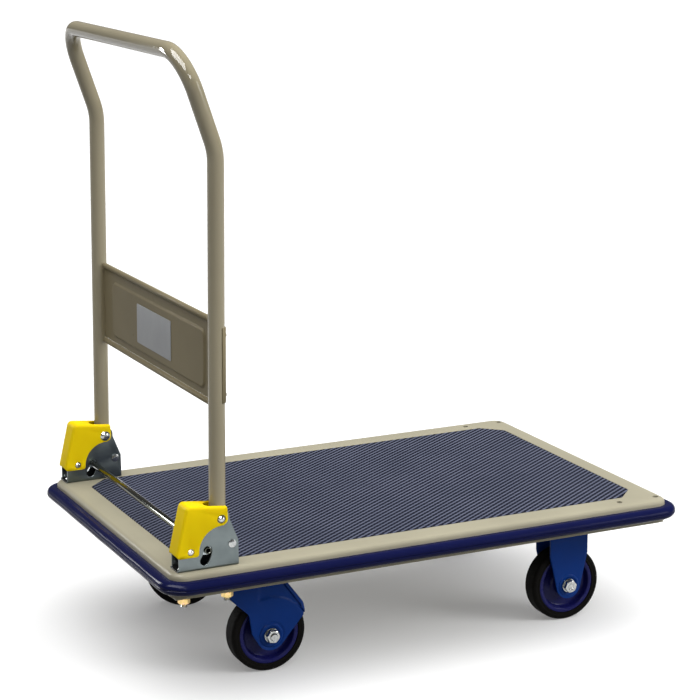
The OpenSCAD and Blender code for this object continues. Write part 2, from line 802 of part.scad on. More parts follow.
module blank_plate() {
    color([0.66, 0.67, 0.68]) handle_frame() translate([panel_x - field_raise - blank_t, blank_y, field_z])
        rotate([90, 0, 90]) linear_extrude(blank_t) rounded_rect(blank_l, blank_h, 3);
}

// ---------------------------------------------------------------- casters

module caster_plate() {
    translate([0, 0, caster_h - top_plate_t]) linear_extrude(top_plate_t) difference() {
        rounded_rect(top_plate_l, top_plate_w, 10);
        for (x = [-1, 1], y = [-1, 1]) translate([x*plate_pitch_x/2, y*plate_pitch_y/2]) circle(plate_bolt_r + bolt_gap);
    }
}

// The fixed half of the swivel head: plate, upper race and dust skirt
module swivel_plates() {
    race_z = ball_z + ball_r + play;
    color([0.1, 0.2, 0.45]) both_sides() translate([-swivel_x, swivel_y, 0]) difference() {
        union() {
            caster_plate();
            translate([0, 0, race_z]) cylinder(r = race_out, h = caster_h - top_plate_t - race_z + eps);
            translate([0, 0, race_z - dust_drop]) difference() {
                cylinder(r = head_r, h = caster_h - top_plate_t - race_z + dust_drop + eps);
                translate([0, 0, -1]) cylinder(r = head_r - dust_t, h = caster_h);
            }
        }
        translate([0, 0, race_z - 1]) cylinder(r = king_r, h = caster_h);
    }
}

// The pin that holds the swivel head together, with its flat head below
module king_pins() {
    foot_z = crown_z - crown_t - play - king_head_h;
    color([0.7, 0.7, 0.72]) both_sides() translate([-swivel_x, swivel_y, foot_z]) {
        cylinder(r = king_head_r, h = king_head_h);
        cylinder(r = king_r, h = caster_h - foot_z);
    }
}

module swivel_leg_outline() {
    hub = [swivel_hub_x, wheel_r];
    hull() {
        translate(hub) circle(boss_r + 2.5, $fn = hull_fn);
        translate(hub + [-18, 11.5]) circle(15, $fn = hull_fn);
        translate(hub + [trail + 2, 36.5]) circle(20, $fn = hull_fn);
        translate([-swivel_x, crown_z - 52]) square([1, 52]);
        translate([swivel_hub_x + 12, crown_z - 8]) square([12, 8]);
    }
    // the neck that flares out to the swivel head
    polygon([[-swivel_x, crown_z], [-swivel_x - head_r + 1, crown_z], [-swivel_x - head_r + 1, crown_z - 16],
        [-swivel_x - 22, crown_z - 31], [-swivel_x - 5, crown_z - 43], [-swivel_x, crown_z - 52]]);
}

// The swivel fork, bent from one sheet: two legs under a hood that rounds the wheel
module swivel_fork() {
    color([0.08, 0.22, 0.5]) translate([0, swivel_y, 0]) difference() {
        union() {
            for (y = [-leg_out, leg_in]) plate_y(y, y + fork_t) swivel_leg_outline();
            plate_y(-leg_in, leg_in) intersection() {
                difference() {
                    swivel_leg_outline();
                    offset(delta = -fork_t) swivel_leg_outline();
                }
                polygon([[-swivel_x - 10, crown_z + 5], [-swivel_x - 10, crown_z - crown_t], [swivel_hub_x + 20, crown_z - 20],
                    [swivel_hub_x + trail, wheel_r + 44], [swivel_hub_x + trail + 30, wheel_r + 44],
                    [swivel_hub_x + trail + 30, crown_z + 5]]);
            }
            translate([-swivel_x, 0, crown_z - crown_t]) cylinder(r = head_r, h = crown_t);
            translate([-swivel_x, 0, crown_z]) cylinder(r = race_out, h = race_t);
            for (side = [0, 1]) mirror([0, side, 0]) translate([swivel_hub_x, 0, wheel_r]) boss_ring();
        }
        translate([swivel_hub_x, 0, wheel_r]) bar_y(axle_r, -40, 40);
        translate([-swivel_x, 0, crown_z - 20]) cylinder(r = king_r + run_fit, h = 40);
        translate([-swivel_x, 0, crown_z]) cylinder(r = race_in, h = 20);
    }
}

// A flat raised ring round the axle on a leg's outer face
module boss_ring() {
    difference() {
        bar_y(boss_r - 4, leg_out - eps, leg_out + boss_h);
        bar_y(boss_r - 8, leg_out, leg_out + boss_h + 1);
    }
}

// The left caster's parts, turned about its swivel axis
module at_left_turn() {
    translate([-swivel_x, swivel_y, 0]) rotate([0, 0, -left_turn])
        translate([swivel_x, -swivel_y, 0]) children();
}

module swivel_fork_left() at_left_turn() swivel_fork();
module swivel_fork_right() mirror([0, 1, 0]) swivel_fork();

module bearing_balls() {
    color([0.8, 0.8, 0.82]) translate([-swivel_x, swivel_y, ball_z]) for (i = [0:ball_n - 1])
        rotate([0, 0, 360*i/ball_n]) translate([ball_ring_r, 0, 0]) sphere(ball_r - eps);
}

module bearing_balls_left() at_left_turn() bearing_balls();
module bearing_balls_right() mirror([0, 1, 0]) bearing_balls();

// An axle bolt with its head at the inner or the outer leg
module axle(head_out) {
    side = head_out ? 1 : -1;
    tip = leg_out + 10.5 + 3;
    color([0.82, 0.83, 0.84]) scale([1, side, 1]) {
        bar_y(axle_r, -tip, leg_out + eps);
        bar_y(axle_af*0.62, leg_out, leg_out + 1.5);
        difference() {
            hex_y(axle_af, leg_out + 1.5, leg_out + 1.5 + axle_head_h);
            bar_y(axle_r - 1, leg_out + 1 + axle_head_h, leg_out + 5 + axle_head_h);
        }
    }
}

// A nut with its washer on the other end of the bolt
module axle_nut(head_out) {
    side = head_out ? -1 : 1;
    color([0.82, 0.83, 0.84]) scale([1, side, 1]) difference() {
        union() {
            bar_y(axle_af*0.62, leg_out, leg_out + 1.5);
            hex_y(axle_af, leg_out + 1.5, leg_out + 10.5);
        }
        bar_y(axle_r, leg_out - 1, leg_out + 20);
    }
}

module at_rear_hub(side) translate([swivel_hub_x, side*swivel_y, wheel_r]) scale([1, side, 1]) children();
module at_front_hub(side) translate([rigid_x, side*rigid_y, wheel_r]) scale([1, side, 1]) children();

module rear_axle_left() at_left_turn() at_rear_hub(1) axle(false);
module rear_axle_right() at_rear_hub(-1) axle(false);
module rear_axle_nut_left() at_left_turn() at_rear_hub(1) axle_nut(false);
module rear_axle_nut_right() at_rear_hub(-1) axle_nut(false);

// ---------------------------------------------------------------- wheels

// The moulded wheel centre: hub, dished web and a rim under the tyre
module wheel_rim() {
    rim_in = core_r - 7;
    web_t = 6;
    color([0.14, 0.14, 0.38]) rotate([90, 0, 0]) rotate_extrude() {
        translate([bush_r, -hub_w/2]) square([hub_r - bush_r, hub_w]);
        translate([hub_r - 1, -web_t/2]) square([rim_in - hub_r + 2, web_t]);
        translate([rim_in, 1 - tyre_w/2]) square([core_r - rim_in, tyre_w - 2]);
    }
}

module wheel_tyre() {
    color([0.08, 0.08, 0.07]) rotate([90, 0, 0]) rotate_extrude() {
        flat = tyre_w/2 - tyre_round;
        translate([core_r, -tyre_w/2]) square([wheel_r - tyre_round - core_r, tyre_w]);
        translate([core_r, -flat]) square([wheel_r - core_r, 2*flat]);
        for (y = [-flat, flat]) translate([wheel_r - tyre_round, y]) circle(tyre_round);
    }
}

module wheel_bushes() {
    color([0.75, 0.75, 0.7]) for (side = [-1, 1]) scale([1, side, 1]) difference() {
        bar_y(bush_r, hub_w/2 - bush_l, hub_w/2);
        bar_y(axle_r + run_fit, 0, hub_w);
    }
}

module rear_rim_left() at_left_turn() at_rear_hub(1) wheel_rim();
module rear_rim_right() at_rear_hub(-1) wheel_rim();
module rear_tyre_left() at_left_turn() at_rear_hub(1) wheel_tyre();
module rear_tyre_right() at_rear_hub(-1) wheel_tyre();
module rear_bushes_left() at_left_turn() at_rear_hub(1) wheel_bushes();
module rear_bushes_right() at_rear_hub(-1) wheel_bushes();
module front_rim_left() at_front_hub(1) wheel_rim();
module front_rim_right() at_front_hub(-1) wheel_rim();
module front_tyre_left() at_front_hub(1) wheel_tyre();
module front_tyre_right() at_front_hub(-1) wheel_tyre();
module front_bushes_left() at_front_hub(1) wheel_bushes();
module front_bushes_right() at_front_hub(-1) wheel_bushes();

// ---------------------------------------------------------------- rigid casters

module rigid_leg_outline() {
    top = caster_h - top_plate_t;
    hull() {
        translate([0, wheel_r]) circle(boss_r, $fn = hull_fn);
        translate([-rigid_leg_w/2, wheel_r + 54]) square([rigid_leg_w, top - wheel_r - 54]);
    }
}

module rigid_fork() {
    top = caster_h - top_plate_t;
    color([0.08, 0.22, 0.5]) difference() {
        union() {
            for (y = [-leg_out, leg_in]) plate_y(y, y + fork_t) rigid_leg_outline();
            translate([-rigid_leg_w/2, -leg_in, top - fork_t]) cube([rigid_leg_w, 2*leg_in, fork_t]);
            caster_plate();
            for (side = [0, 1]) mirror([0, side, 0]) translate([0, 0, wheel_r]) boss_ring();
        }
        translate([0, 0, wheel_r]) bar_y(axle_r, -40, 40);
    }
}

module rigid_forks() both_sides() translate([rigid_x, rigid_y, 0]) rigid_fork();

module front_axles() {
    at_front_hub(1) axle(true);
    at_front_hub(-1) axle(true);
}

module front_axle_nuts() {
    at_front_hub(1) axle_nut(true);
    at_front_hub(-1) axle_nut(true);
}

// ---------------------------------------------------------------- caster plate bolts

module plate_bolt_places() {
    for (place = [[-swivel_x, swivel_y], [rigid_x, rigid_y]], side = [-1, 1], px = [-1, 1], py = [-1, 1])
        translate([place[0] + px*plate_pitch_x/2, side*place[1] + py*plate_pitch_y/2, caster_h]) children();
}

module plate_bolts() {
    head_h = 5.3;
    grip = top_plate_t + plate_nut_h + 2;
    color([0.8, 0.75, 0.5]) plate_bolt_places() {
        translate([0, 0, sheet]) cylinder(r = plate_nut_af/2/cos(30), h = head_h, $fn = 6);
        translate([0, 0, -grip]) cylinder(r = plate_bolt_r, h = grip + sheet + eps);
    }
}

module plate_nuts() {
    color([0.8, 0.75, 0.5]) plate_bolt_places() translate([0, 0, -top_plate_t - plate_nut_h]) difference() {
        cylinder(r = plate_nut_af/2/cos(30), h = plate_nut_h, $fn = 6);
        translate([0, 0, -1]) cylinder(r = plate_bolt_r, h = plate_nut_h + 2);
    }
}

// ---------------------------------------------------------------- the cart

deck_pan();
side_rails();
caster_channels();
platform_mat();
bumper();
hinge_bracket_left();
hinge_bracket_right();
hinge_cover_left();
hinge_cover_right();
bracket_bolts();
bracket_washers();
bracket_nuts();
stop_pins();
pivot_pins();
pivot_caps();
latch_bolts();
latch_caps();
latch_lever_left();
latch_lever_right();
latch_springs();
foot_bar();
handle_tube();
pivot_bushes();
tube_plugs();
handle_panel();
panel_rivets();
blank_plate();
swivel_plates();
king_pins();
swivel_fork_left();
swivel_fork_right();
bearing_balls_left();
bearing_balls_right();
rear_axle_left();
rear_axle_right();
rear_axle_nut_left();
rear_axle_nut_right();
rear_rim_left();
rear_rim_right();
rear_tyre_left();
rear_tyre_right();
rear_bushes_left();
rear_bushes_right();
rigid_forks();
front_axles();
front_axle_nuts();
front_rim_left();
front_rim_right();
front_tyre_left();
front_tyre_right();
front_bushes_left();
front_bushes_right();
plate_bolts();
plate_nuts();
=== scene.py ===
# %% [markdown]
# # A folding platform cart
# The cart is a pressed steel deck on four casters, with a tubular handle that folds down
# onto the deck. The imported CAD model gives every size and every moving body. This lesson
# builds the visible surfaces round it with numpy and gives each one a finish made of nodes.
# +X runs from the handle to the free end, +Y is the cart's left and +Z is up.

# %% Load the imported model
import json
import math

import bmesh
import bpy
import numpy as np
from mathutils import Matrix, Vector, geometry


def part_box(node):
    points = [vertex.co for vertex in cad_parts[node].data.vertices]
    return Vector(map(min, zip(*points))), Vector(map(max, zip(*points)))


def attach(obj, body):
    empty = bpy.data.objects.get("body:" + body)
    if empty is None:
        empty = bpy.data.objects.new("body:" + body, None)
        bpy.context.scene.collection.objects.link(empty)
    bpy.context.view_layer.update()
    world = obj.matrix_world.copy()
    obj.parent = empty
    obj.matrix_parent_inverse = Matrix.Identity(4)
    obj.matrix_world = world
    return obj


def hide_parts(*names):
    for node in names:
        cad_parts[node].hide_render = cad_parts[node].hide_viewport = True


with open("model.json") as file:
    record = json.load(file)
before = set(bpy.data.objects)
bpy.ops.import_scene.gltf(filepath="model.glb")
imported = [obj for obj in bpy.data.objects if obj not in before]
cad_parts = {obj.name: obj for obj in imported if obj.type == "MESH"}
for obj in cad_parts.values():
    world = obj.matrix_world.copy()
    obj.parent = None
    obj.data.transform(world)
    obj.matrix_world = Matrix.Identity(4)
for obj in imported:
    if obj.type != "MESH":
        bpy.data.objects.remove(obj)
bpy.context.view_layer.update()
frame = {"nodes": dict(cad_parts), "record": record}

# %% [markdown]
# ## Working in millimetres
# Workshop sizes are easier to read in millimetres, so all shapes are worked out in them and
# turned into metres once, when a mesh is made. Places come from the boxes of the CAD nodes.

# %% Sizes from the CAD nodes
MM = 0.001


def span(node):
    """Lowest and highest corner of a CAD node, in millimetres."""
    low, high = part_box(node)
    return np.array(low) / MM, np.array(high) / MM


def middle(node):
    """Centre of a CAD node's box, in millimetres."""
    low, high = span(node)
    return (low + high) / 2


deck_low, deck_high = span("deck_pan")
DECK_L, DECK_W = (deck_high - deck_low)[:2]
DECK_TOP, LIP_Z = deck_high[2], deck_low[2]
PIVOT = middle("pivot_pins") * (1, 0, 1)
HINGE_Y = middle("hinge_bracket_left")[1]
print(f"deck {DECK_L:.0f} x {DECK_W:.0f}, top at {DECK_TOP:.1f}; pivot at {PIVOT.round(1)}")

# %% [markdown]
# ## Flat outlines
# Sheet metal starts as a flat outline. Corners become arcs that touch both sides, and an
# outline can be moved inwards along its own normals, which rounds the edge of a plate.

# %% Outline helpers
def unit(v):
    """Vectors scaled to length one along the last axis."""
    return v / np.maximum(np.linalg.norm(v, axis=-1, keepdims=True), 1e-12)


def rounded(corners, radii, steps):
    """Closed outline with an arc at every corner. The arc's centre lies on the corner's
    bisector at radius / sin(half angle), and its points slerp between both tangent points."""
    p = np.asarray(corners, float)
    r = np.broadcast_to(np.asarray(radii, float), len(p))[:, None]
    back, ahead = unit(np.roll(p, 1, 0) - p), unit(np.roll(p, -1, 0) - p)
    half = np.arccos(np.clip((back * ahead).sum(1), -1, 1))[:, None] / 2
    centre = p + unit(back + ahead) * r / np.sin(half)
    first, last = p + back * r / np.tan(half) - centre, p + ahead * r / np.tan(half) - centre
    sweep_angle = (np.pi - 2 * half)[:, :, None]
    s = np.linspace(0, 1, steps + 1)[None, :, None]
    arc = np.sin((1 - s) * sweep_angle) * first[:, None] + np.sin(s * sweep_angle) * last[:, None]
    return (centre[:, None] + arc / np.sin(sweep_angle)).reshape(-1, 2)


def circle(r, centre, steps=48):
    """Closed circle, anticlockwise."""
    a = np.arange(steps) * 2 * np.pi / steps
    return np.stack([np.cos(a), np.sin(a)], 1) * r + centre


def signed_area(loop):
    """Shoelace area, positive for an anticlockwise loop."""
    x, y = loop.T
    return (x * np.roll(y, -1) - y * np.roll(x, -1)).sum() / 2


def inset(loop, depth):
    """The loop moved to its left by depth. Each point moves along the sum of its two edge
    normals over one plus their dot product, which keeps the distance true at corners."""
    edge = unit(np.roll(loop, -1, 0) - loop)
    right = np.stack([edge[:, 1], -edge[:, 0]], 1)
    before = np.roll(right, 1, 0)
    miter = (right + before) / np.maximum(1 + (right * before).sum(1, keepdims=True), 0.3)
    return loop - miter * np.reshape(depth, (-1, 1) if np.ndim(depth) else (1, 1))


def inside(points, loops):
    """Even-odd test: whether a ray from each point crosses the loops an odd number of times."""
    count = np.zeros(len(points), int)
    for loop in loops:
        a, b = loop, np.roll(loop, -1, 0)
        y, x = points[:, 1:2], points[:, 0:1]
        cross = (a[:, 1] > y) != (b[:, 1] > y)
        rise = np.where(b[:, 1] == a[:, 1], 1e-12, b[:, 1] - a[:, 1])
        count += (cross & (x < (b[:, 0] - a[:, 0]) * (y - a[:, 1]) / rise + a[:, 0])).sum(1)
    return count % 2 == 1


card = rounded([(5, -5), (5, 5), (-5, 5), (-5, -5)], 1, 8)
print(f"a 10 x 10 card with 1 mm corners has an area of {signed_area(card):.2f}")


# %% [markdown]
# ## From arrays to meshes
# A part is a pair of arrays: points and faces.

# %% Part builders
def grid_faces(rows, cols, wrap_rows=False, wrap_cols=False):
    """Quads of a rows x cols grid of points, optionally closed in either direction."""
    i = np.arange(rows if wrap_rows else rows - 1)[:, None]
    j = np.arange(cols if wrap_cols else cols - 1)[None, :]
    i2, j2 = (i + 1) % rows, (j + 1) % cols
    corners = (i * cols + j, i * cols + j2, i2 * cols + j2, i2 * cols + j)
    return np.stack(np.broadcast_arrays(*corners), -1).reshape(-1, 4)


def surface(points, wrap_rows=False, wrap_cols=False):
    """A grid of points (rows, cols, 3) as one part."""
    rows, cols = points.shape[:2]
    return points.reshape(-1, 3), grid_faces(rows, cols, wrap_rows, wrap_cols)


CLEAR_OF_EDGE = 0.4


def fill(loops, extra=None):
    """Triangles inside the first loop and outside the others, after Delaunay, as a flat part.
    Extra points make room for relief on the face, and keep off its edges."""
    pts = [np.asarray(p) for p in loops]
    if extra is not None:
        gap = np.min([np.linalg.norm(extra[:, None] - loop[None], axis=2).min(1)
                      for loop in pts], axis=0)
        extra = extra[inside(extra, pts) & (gap > CLEAR_OF_EDGE)]
    flat = np.concatenate(pts + ([extra] if extra is not None else []))
    start = np.cumsum([0] + [len(p) for p in pts])
    edges = np.concatenate([np.stack([np.arange(n), (np.arange(n) + 1) % n], 1) + s
                            for n, s in zip(map(len, pts), start)])
    corners = [Vector(p) for p in flat.tolist()]
    out = geometry.delaunay_2d_cdt(corners, edges.tolist(), [], 0, 1e-6)
    points, tris = np.array([tuple(v) for v in out[0]]), np.array(out[2])
    return points, tris[inside(points[tris].mean(1), pts)]


def lift(part, z):
    """A flat part raised to height z."""
    points, faces = part
    return np.column_stack([points, np.broadcast_to(z, len(points))]), faces


def bands(rings):
    """Closed rings of equal length, each joined to the next by quads."""
    return surface(np.stack(rings), wrap_cols=True)


def ring_at(loop, z):
    """A closed outline at height z."""
    return np.column_stack([loop, np.broadcast_to(z, len(loop))])


def lathe(profile, steps):
    """Surface of revolution about Z. Profile rows are (radius, height); a point is
    (r cos a, r sin a, h)."""
    profile = np.asarray(profile, float)
    a = np.arange(steps) * 2 * np.pi / steps
    r, h = profile[:, :1], profile[:, 1:]
    grid = np.stack([r * np.cos(a), r * np.sin(a), np.broadcast_to(h, (len(profile), steps))], 2)
    return surface(grid, wrap_cols=True)


def plate(loops, thickness, edge):
    """A plate from -thickness/2 to thickness/2 whose edges are quarter rounds: at angle a the
    outline is inset by edge * (1 - cos a), at edge * (1 - sin a) below the face."""
    quarter = np.linspace(0, np.pi / 2, 4)
    parts, tops = [], []
    for loop, ease in zip(loops, edge if isinstance(edge, list) else [edge] * len(loops)):
        e = np.minimum(np.broadcast_to(ease, len(loop)), thickness / 2 - 0.01)
        half = [(inset(loop, e * (1 - np.cos(a))), thickness / 2 - e * (1 - np.sin(a)))
                for a in quarter]
        rings = [ring_at(p, -z) for p, z in reversed(half)] + [ring_at(p, z) for p, z in half]
        parts.append(bands(rings))
        tops.append(half[-1][0])
    face = fill(tops)
    return parts + [lift(face, thickness / 2), lift(face, -thickness / 2)]


def turned(parts, right, up, out, origin):
    """Parts with their x, y and z carried onto three directions from an origin."""
    basis = np.array([right, up, out], float)
    return [(points @ basis + origin, faces) for points, faces in as_list(parts)]


def as_list(parts):
    """One part or several, as a list."""
    return [parts] if isinstance(parts, tuple) else list(parts)


X, Y, Z = np.eye(3)


def moved(parts, by):
    """Parts shifted by a vector."""
    return [(points + by, faces) for points, faces in as_list(parts)]


def twice_across(part, y, gap):
    """A flat XY drawing stood up in the XZ plane, once at y - gap and once at y + gap."""
    return [p for at in (y - gap, y + gap) for p in turned(part, X, Z, Y, (0, at, 0))]


def mirrored(parts):
    """The same parts on the cart's other side."""
    return [(points * (1, -1, 1), faces) for points, faces in as_list(parts)]


def both(parts):
    """The parts and their mirror image."""
    return as_list(parts) + mirrored(parts)


# %% Make a piece
WELD, SLIVER = 0.002 * MM, 1e-7
piece_sizes = {}


def close_below(bm, z):
    """Drops a wall from the open border of a sheet to height z and closes it there."""
    border = [e for e in bm.edges if e.is_boundary]
    wall = bmesh.ops.extrude_edge_only(bm, edges=border)["geom"]
    for v in (g for g in wall if isinstance(g, bmesh.types.BMVert)):
        v.co.z = z * MM
    bmesh.ops.edgeloop_fill(bm, edges=[g for g in wall if isinstance(g, bmesh.types.BMEdge)])


def make(name, parts, body, finish, stands_for, sharp=38, close_at=None):
    """Joins parts into one mesh, in metres, that rides on a body and replaces CAD nodes."""
    parts = as_list(parts)
    starts = np.cumsum([0] + [len(p) for p, _ in parts])
    points = np.concatenate([p for p, _ in parts]) * MM
    faces = [row for (_, f), s in zip(parts, starts) for row in (np.asarray(f) + s).tolist()]
    mesh = bpy.data.meshes.new(name)
    mesh.from_pydata(points.tolist(), [], faces)
    bm = bmesh.new()
    bm.from_mesh(mesh)
    bmesh.ops.remove_doubles(bm, verts=bm.verts, dist=WELD)
    bmesh.ops.dissolve_degenerate(bm, edges=bm.edges, dist=SLIVER)
    bmesh.ops.delete(bm, geom=[e for e in bm.edges if e.is_wire], context="EDGES")
    if close_at is not None:
        close_below(bm, close_at)
    bmesh.ops.recalc_face_normals(bm, faces=bm.faces)
    open_edges = sum(not e.is_manifold for e in bm.edges)
    bm.to_mesh(mesh)
    bm.free()
    mesh.shade_smooth()
    mesh.set_sharp_from_angle(angle=math.radians(sharp))
    mesh.materials.append(finish)
    obj = bpy.data.objects.new(name, mesh)
    bpy.context.scene.collection.objects.link(obj)
    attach(obj, body)
    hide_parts(*stands_for)
    piece_sizes[name] = sum(len(p.vertices) - 2 for p in mesh.polygons)
    print(f"{name}: {piece_sizes[name]} triangles, {open_edges} open edges")
    return obj


# %% [markdown]
# ## Finishes as expressions
# A finish is a small sum of noises, waves and masks. Writing those sums as Python
# expressions keeps them readable: a wrapped socket adds the right Math node for each
# operator, and `Finish.node` adds any other node.

# %% Socket arithmetic
class Value:
    """A number socket of a material. Operators add Math nodes and return the new socket."""

    def __init__(self, finish, socket):
        self.finish, self.socket = finish, socket

    def _math(self, operation, *terms):
        return self.finish.node("ShaderNodeMath", dict(enumerate(terms)), operation=operation)

    def __add__(self, other): return self._math("ADD", self, other)
    def __radd__(self, other): return self._math("ADD", other, self)
    def __sub__(self, other): return self._math("SUBTRACT", self, other)
    def __rsub__(self, other): return self._math("SUBTRACT", other, self)
    def __mul__(self, other): return self._math("MULTIPLY", self, other)
    def __rmul__(self, other): return self._math("MULTIPLY", other, self)
    def __truediv__(self, other): return self._math("DIVIDE", self, other)
    def __pow__(self, other): return self._math("POWER", self, other)
    def sin(self): return self._math("SINE", self)
    def abs(self): return self._math("ABSOLUTE", self)

    def step(self, low, high):
        """Zero below low, one above high, smooth between."""
        limits = {"Value": self, "From Min": low, "From Max": high}
        return self.finish.node("ShaderNodeMapRange", limits, interpolation_type="SMOOTHSTEP")


class Finish:
    """A material with a Principled shader whose sockets take numbers, colours or values."""

    def __init__(self, name, **constants):
        self.material = bpy.data.materials.new(name)
        self.material.use_nodes = True
        self.tree = self.material.node_tree
        self.shader = self.tree.nodes["Principled BSDF"]
        self.set(**constants)

    def node(self, kind, inputs=None, output=0, **settings):
        """Adds a node: settings first, then the values or links of its sockets."""
        n = self.tree.nodes.new(kind)
        for key, value in settings.items():
            setattr(n, key, value)
        for key, value in (inputs or {}).items():
            self.feed(n.inputs[key], value)
        return Value(self, n.outputs[output])

    def feed(self, socket, value):
        """Links a wrapped socket, or sets a plain value."""
        if isinstance(value, Value):
            self.tree.links.new(value.socket, socket)
        elif np.ndim(value) and socket.type == "RGBA":
            socket.default_value = (*value[:3], 1)
        else:
            socket.default_value = value

    def set(self, **sockets):
        """Feeds sockets of the shader, with underscores for spaces in their names."""
        for key, value in sockets.items():
            self.feed(self.shader.inputs[key.replace("_", " ")], value)

    def place(self):
        """The point on the piece in object coordinates, in metres."""
        return self.node("ShaderNodeTexCoord", output="Object")

    def axes(self):
        """The three object coordinates as separate values, in millimetres."""
        split = self.node("ShaderNodeSeparateXYZ", {"Vector": self.place()}).socket.node
        return [Value(self, out) / MM for out in split.outputs]

    def noise(self, size, detail, stretch=(1, 1, 1), rough=0.5):
        """Cloudy value between zero and one whose lumps are about size millimetres wide."""
        scale = tuple(1 / (size * MM * s) for s in stretch)
        spot = self.node("ShaderNodeMapping", {"Vector": self.place(), "Scale": scale})
        return self.node("ShaderNodeTexNoise", {"Vector": spot, "Scale": 1.0, "Detail": detail,
                                                "Roughness": rough})

    def blend(self, share, low, high):
        """Mixes two colours by a value. The colour sockets of a Mix node have numbers."""
        colour_a, colour_b, colour_out = 6, 7, 2
        return self.node("ShaderNodeMix", {"Factor": share, colour_a: low, colour_b: high},
                         output=colour_out, data_type="RGBA")

    def bump(self, height, depth):
        """Feeds a height between zero and one, depth millimetres deep, to the normal."""
        relief = {"Height": height, "Distance": depth * MM, "Strength": 1.0}
        self.set(Normal=self.node("ShaderNodeBump", relief))


def shade(colour, factor):
    """A colour made lighter or darker by a factor."""
    return tuple(min(1.0, c * factor) for c in colour)


def tones(finish, share, colour, drift):
    """A slow change from a little darker to a little lighter than a colour."""
    return finish.blend(share.step(0.3, 0.7), shade(colour, 1 - drift), shade(colour, 1 + drift))


def show(*materials):
    """Prints how many nodes each finish has."""
    print({m.name: len(m.node_tree.nodes) for m in materials})


print("half as bright:", shade((0.5, 0.4, 0.3), 0.5))

# %% [markdown]
# ## Paint
# The deck and the handle wear one stone-coloured gloss enamel. Real enamel is never flat:
# it has a faint orange peel, a slow drift in tone and a film of dust that dulls it in
# patches. All painted parts share one recipe with their own colour and gloss. The panel's
# colour is darker than the tube's, as painted shade on a face that turns away from the light.
# Real enamel bends light by about 1.5. Lower values are set here, because they take the pale
# veil off wide flat faces seen at a low angle, at the price of weaker reflections.

# %% Paint recipes
def enamel(name, colour, gloss, peel=0.012, drift=0.05, shine=0.5, ior=1.45):
    """Sprayed paint: slow tone drift, patchy gloss, fine orange peel."""
    f = Finish(name, Specular_IOR_Level=shine, IOR=ior)
    cloud = f.noise(160, 3)
    haze = f.noise(28, 4)
    f.set(Base_Color=tones(f, cloud, colour, drift), Roughness=gloss * ((haze - 0.5) * 0.4 + 1))
    f.bump(f.noise(3.2, 2) * 0.7 + f.noise(9, 1) * 0.3, peel)
    return f.material


STONE = (0.345, 0.320, 0.235)
deck_paint = enamel("stone enamel", shade(STONE, 1.05), 0.33, ior=1.15)
handle_paint = enamel("stone enamel on tube", (0.350, 0.308, 0.205), 0.09, peel=0.003, ior=1.3)
# painted shade: the panel's enamel is a darker copy of the tube's, for a face turned from the light
panel_paint = enamel("stone enamel on panel", (0.250, 0.211, 0.128), 0.30, peel=0.008, ior=1.06)
frame_paint = enamel("stone primer", shade(STONE, 0.85), 0.5)
fork_paint = enamel("caster blue", (0.003, 0.036, 0.215), 0.34, peel=0.01, drift=0.12, shine=0.10)
show(deck_paint, handle_paint, panel_paint, frame_paint, fork_paint)

# %% [markdown]
# ## Metals
# Zinc plate is grey with a bluish cast and faint crystals, chromated zinc shifts between
# yellow, rose and green, and the foot bar is bright chrome over a finely ground rod.

# %% Metal recipes
def plated(name, dark, light, rough, grain=7.0):
    """Plated steel: crystal patches between two tones, fine scratches along the part."""
    f = Finish(name, Metallic=1.0)
    patch = f.noise(grain, 4, rough=0.6)
    streak = f.noise(1.2, 2, stretch=(12, 1, 1))
    f.set(Base_Color=f.blend(patch.step(0.3, 0.7), dark, light),
          Roughness=rough + (streak - 0.5) * 0.16 + (patch - 0.5) * 0.1)
    f.bump(streak * 0.6 + patch * 0.4, 0.01)
    return f.material


zinc = plated("zinc plate", (0.40, 0.45, 0.47), (0.52, 0.58, 0.60), 0.40)


def bracket_zinc():
    """Even zinc plate whose inner faces carry painted shade: a near black colour inside the channel.
    """
    f = Finish("zinc on brackets", Metallic=1.0)
    _, y, _ = f.axes()
    # painted shade: one on the faces inside the channel between the side plates, where the colour
    # turns near black
    inner = 1 - (y.abs() - HINGE_Y).abs().step(12.6, 13.6)
    patch = f.noise(34, 3)
    streak = f.noise(1.6, 2, stretch=(14, 1, 1))
    zinc_tone = f.blend(patch.step(0.3, 0.7), (0.130, 0.153, 0.155), (0.160, 0.185, 0.187))
    f.set(Base_Color=f.blend(inner, zinc_tone, (0.03, 0.03, 0.03)),
          Roughness=0.36 + (streak - 0.5) * 0.16)
    f.bump(streak, 0.008)
    return f.material


bracket_plate = bracket_zinc()
bright_steel = plated("bright zinc", (0.31, 0.32, 0.32), (0.47, 0.48, 0.47), 0.20, grain=3)
dull_steel = plated("worn zinc", (0.42, 0.41, 0.38), (0.60, 0.58, 0.54), 0.36, grain=3)
spring_steel = plated("spring steel", (0.22, 0.22, 0.24), (0.38, 0.38, 0.40), 0.35, grain=2)


def rod_chrome():
    """Chrome on a ground rod, with painted shade at both ends: near black inside the bore."""
    f = Finish("ground chrome", Metallic=1.0)
    x, _, z = f.axes()
    centre = middle("foot_bar")
    reach = ((x - centre[0]) ** 2 + (z - centre[2]) ** 2) ** 0.5
    ring = f.noise(0.8, 2, stretch=(20, 1, 20))
    # painted shade: near black within the bore's radius of the axis, chrome outside it
    f.set(Base_Color=f.blend(reach.step(3.5, 3.9), (0.01, 0.01, 0.01), (0.080, 0.085, 0.070)),
          Roughness=0.10 + (ring - 0.5) * 0.08)
    f.bump(ring, 0.003)
    return f.material


bar_chrome = rod_chrome()


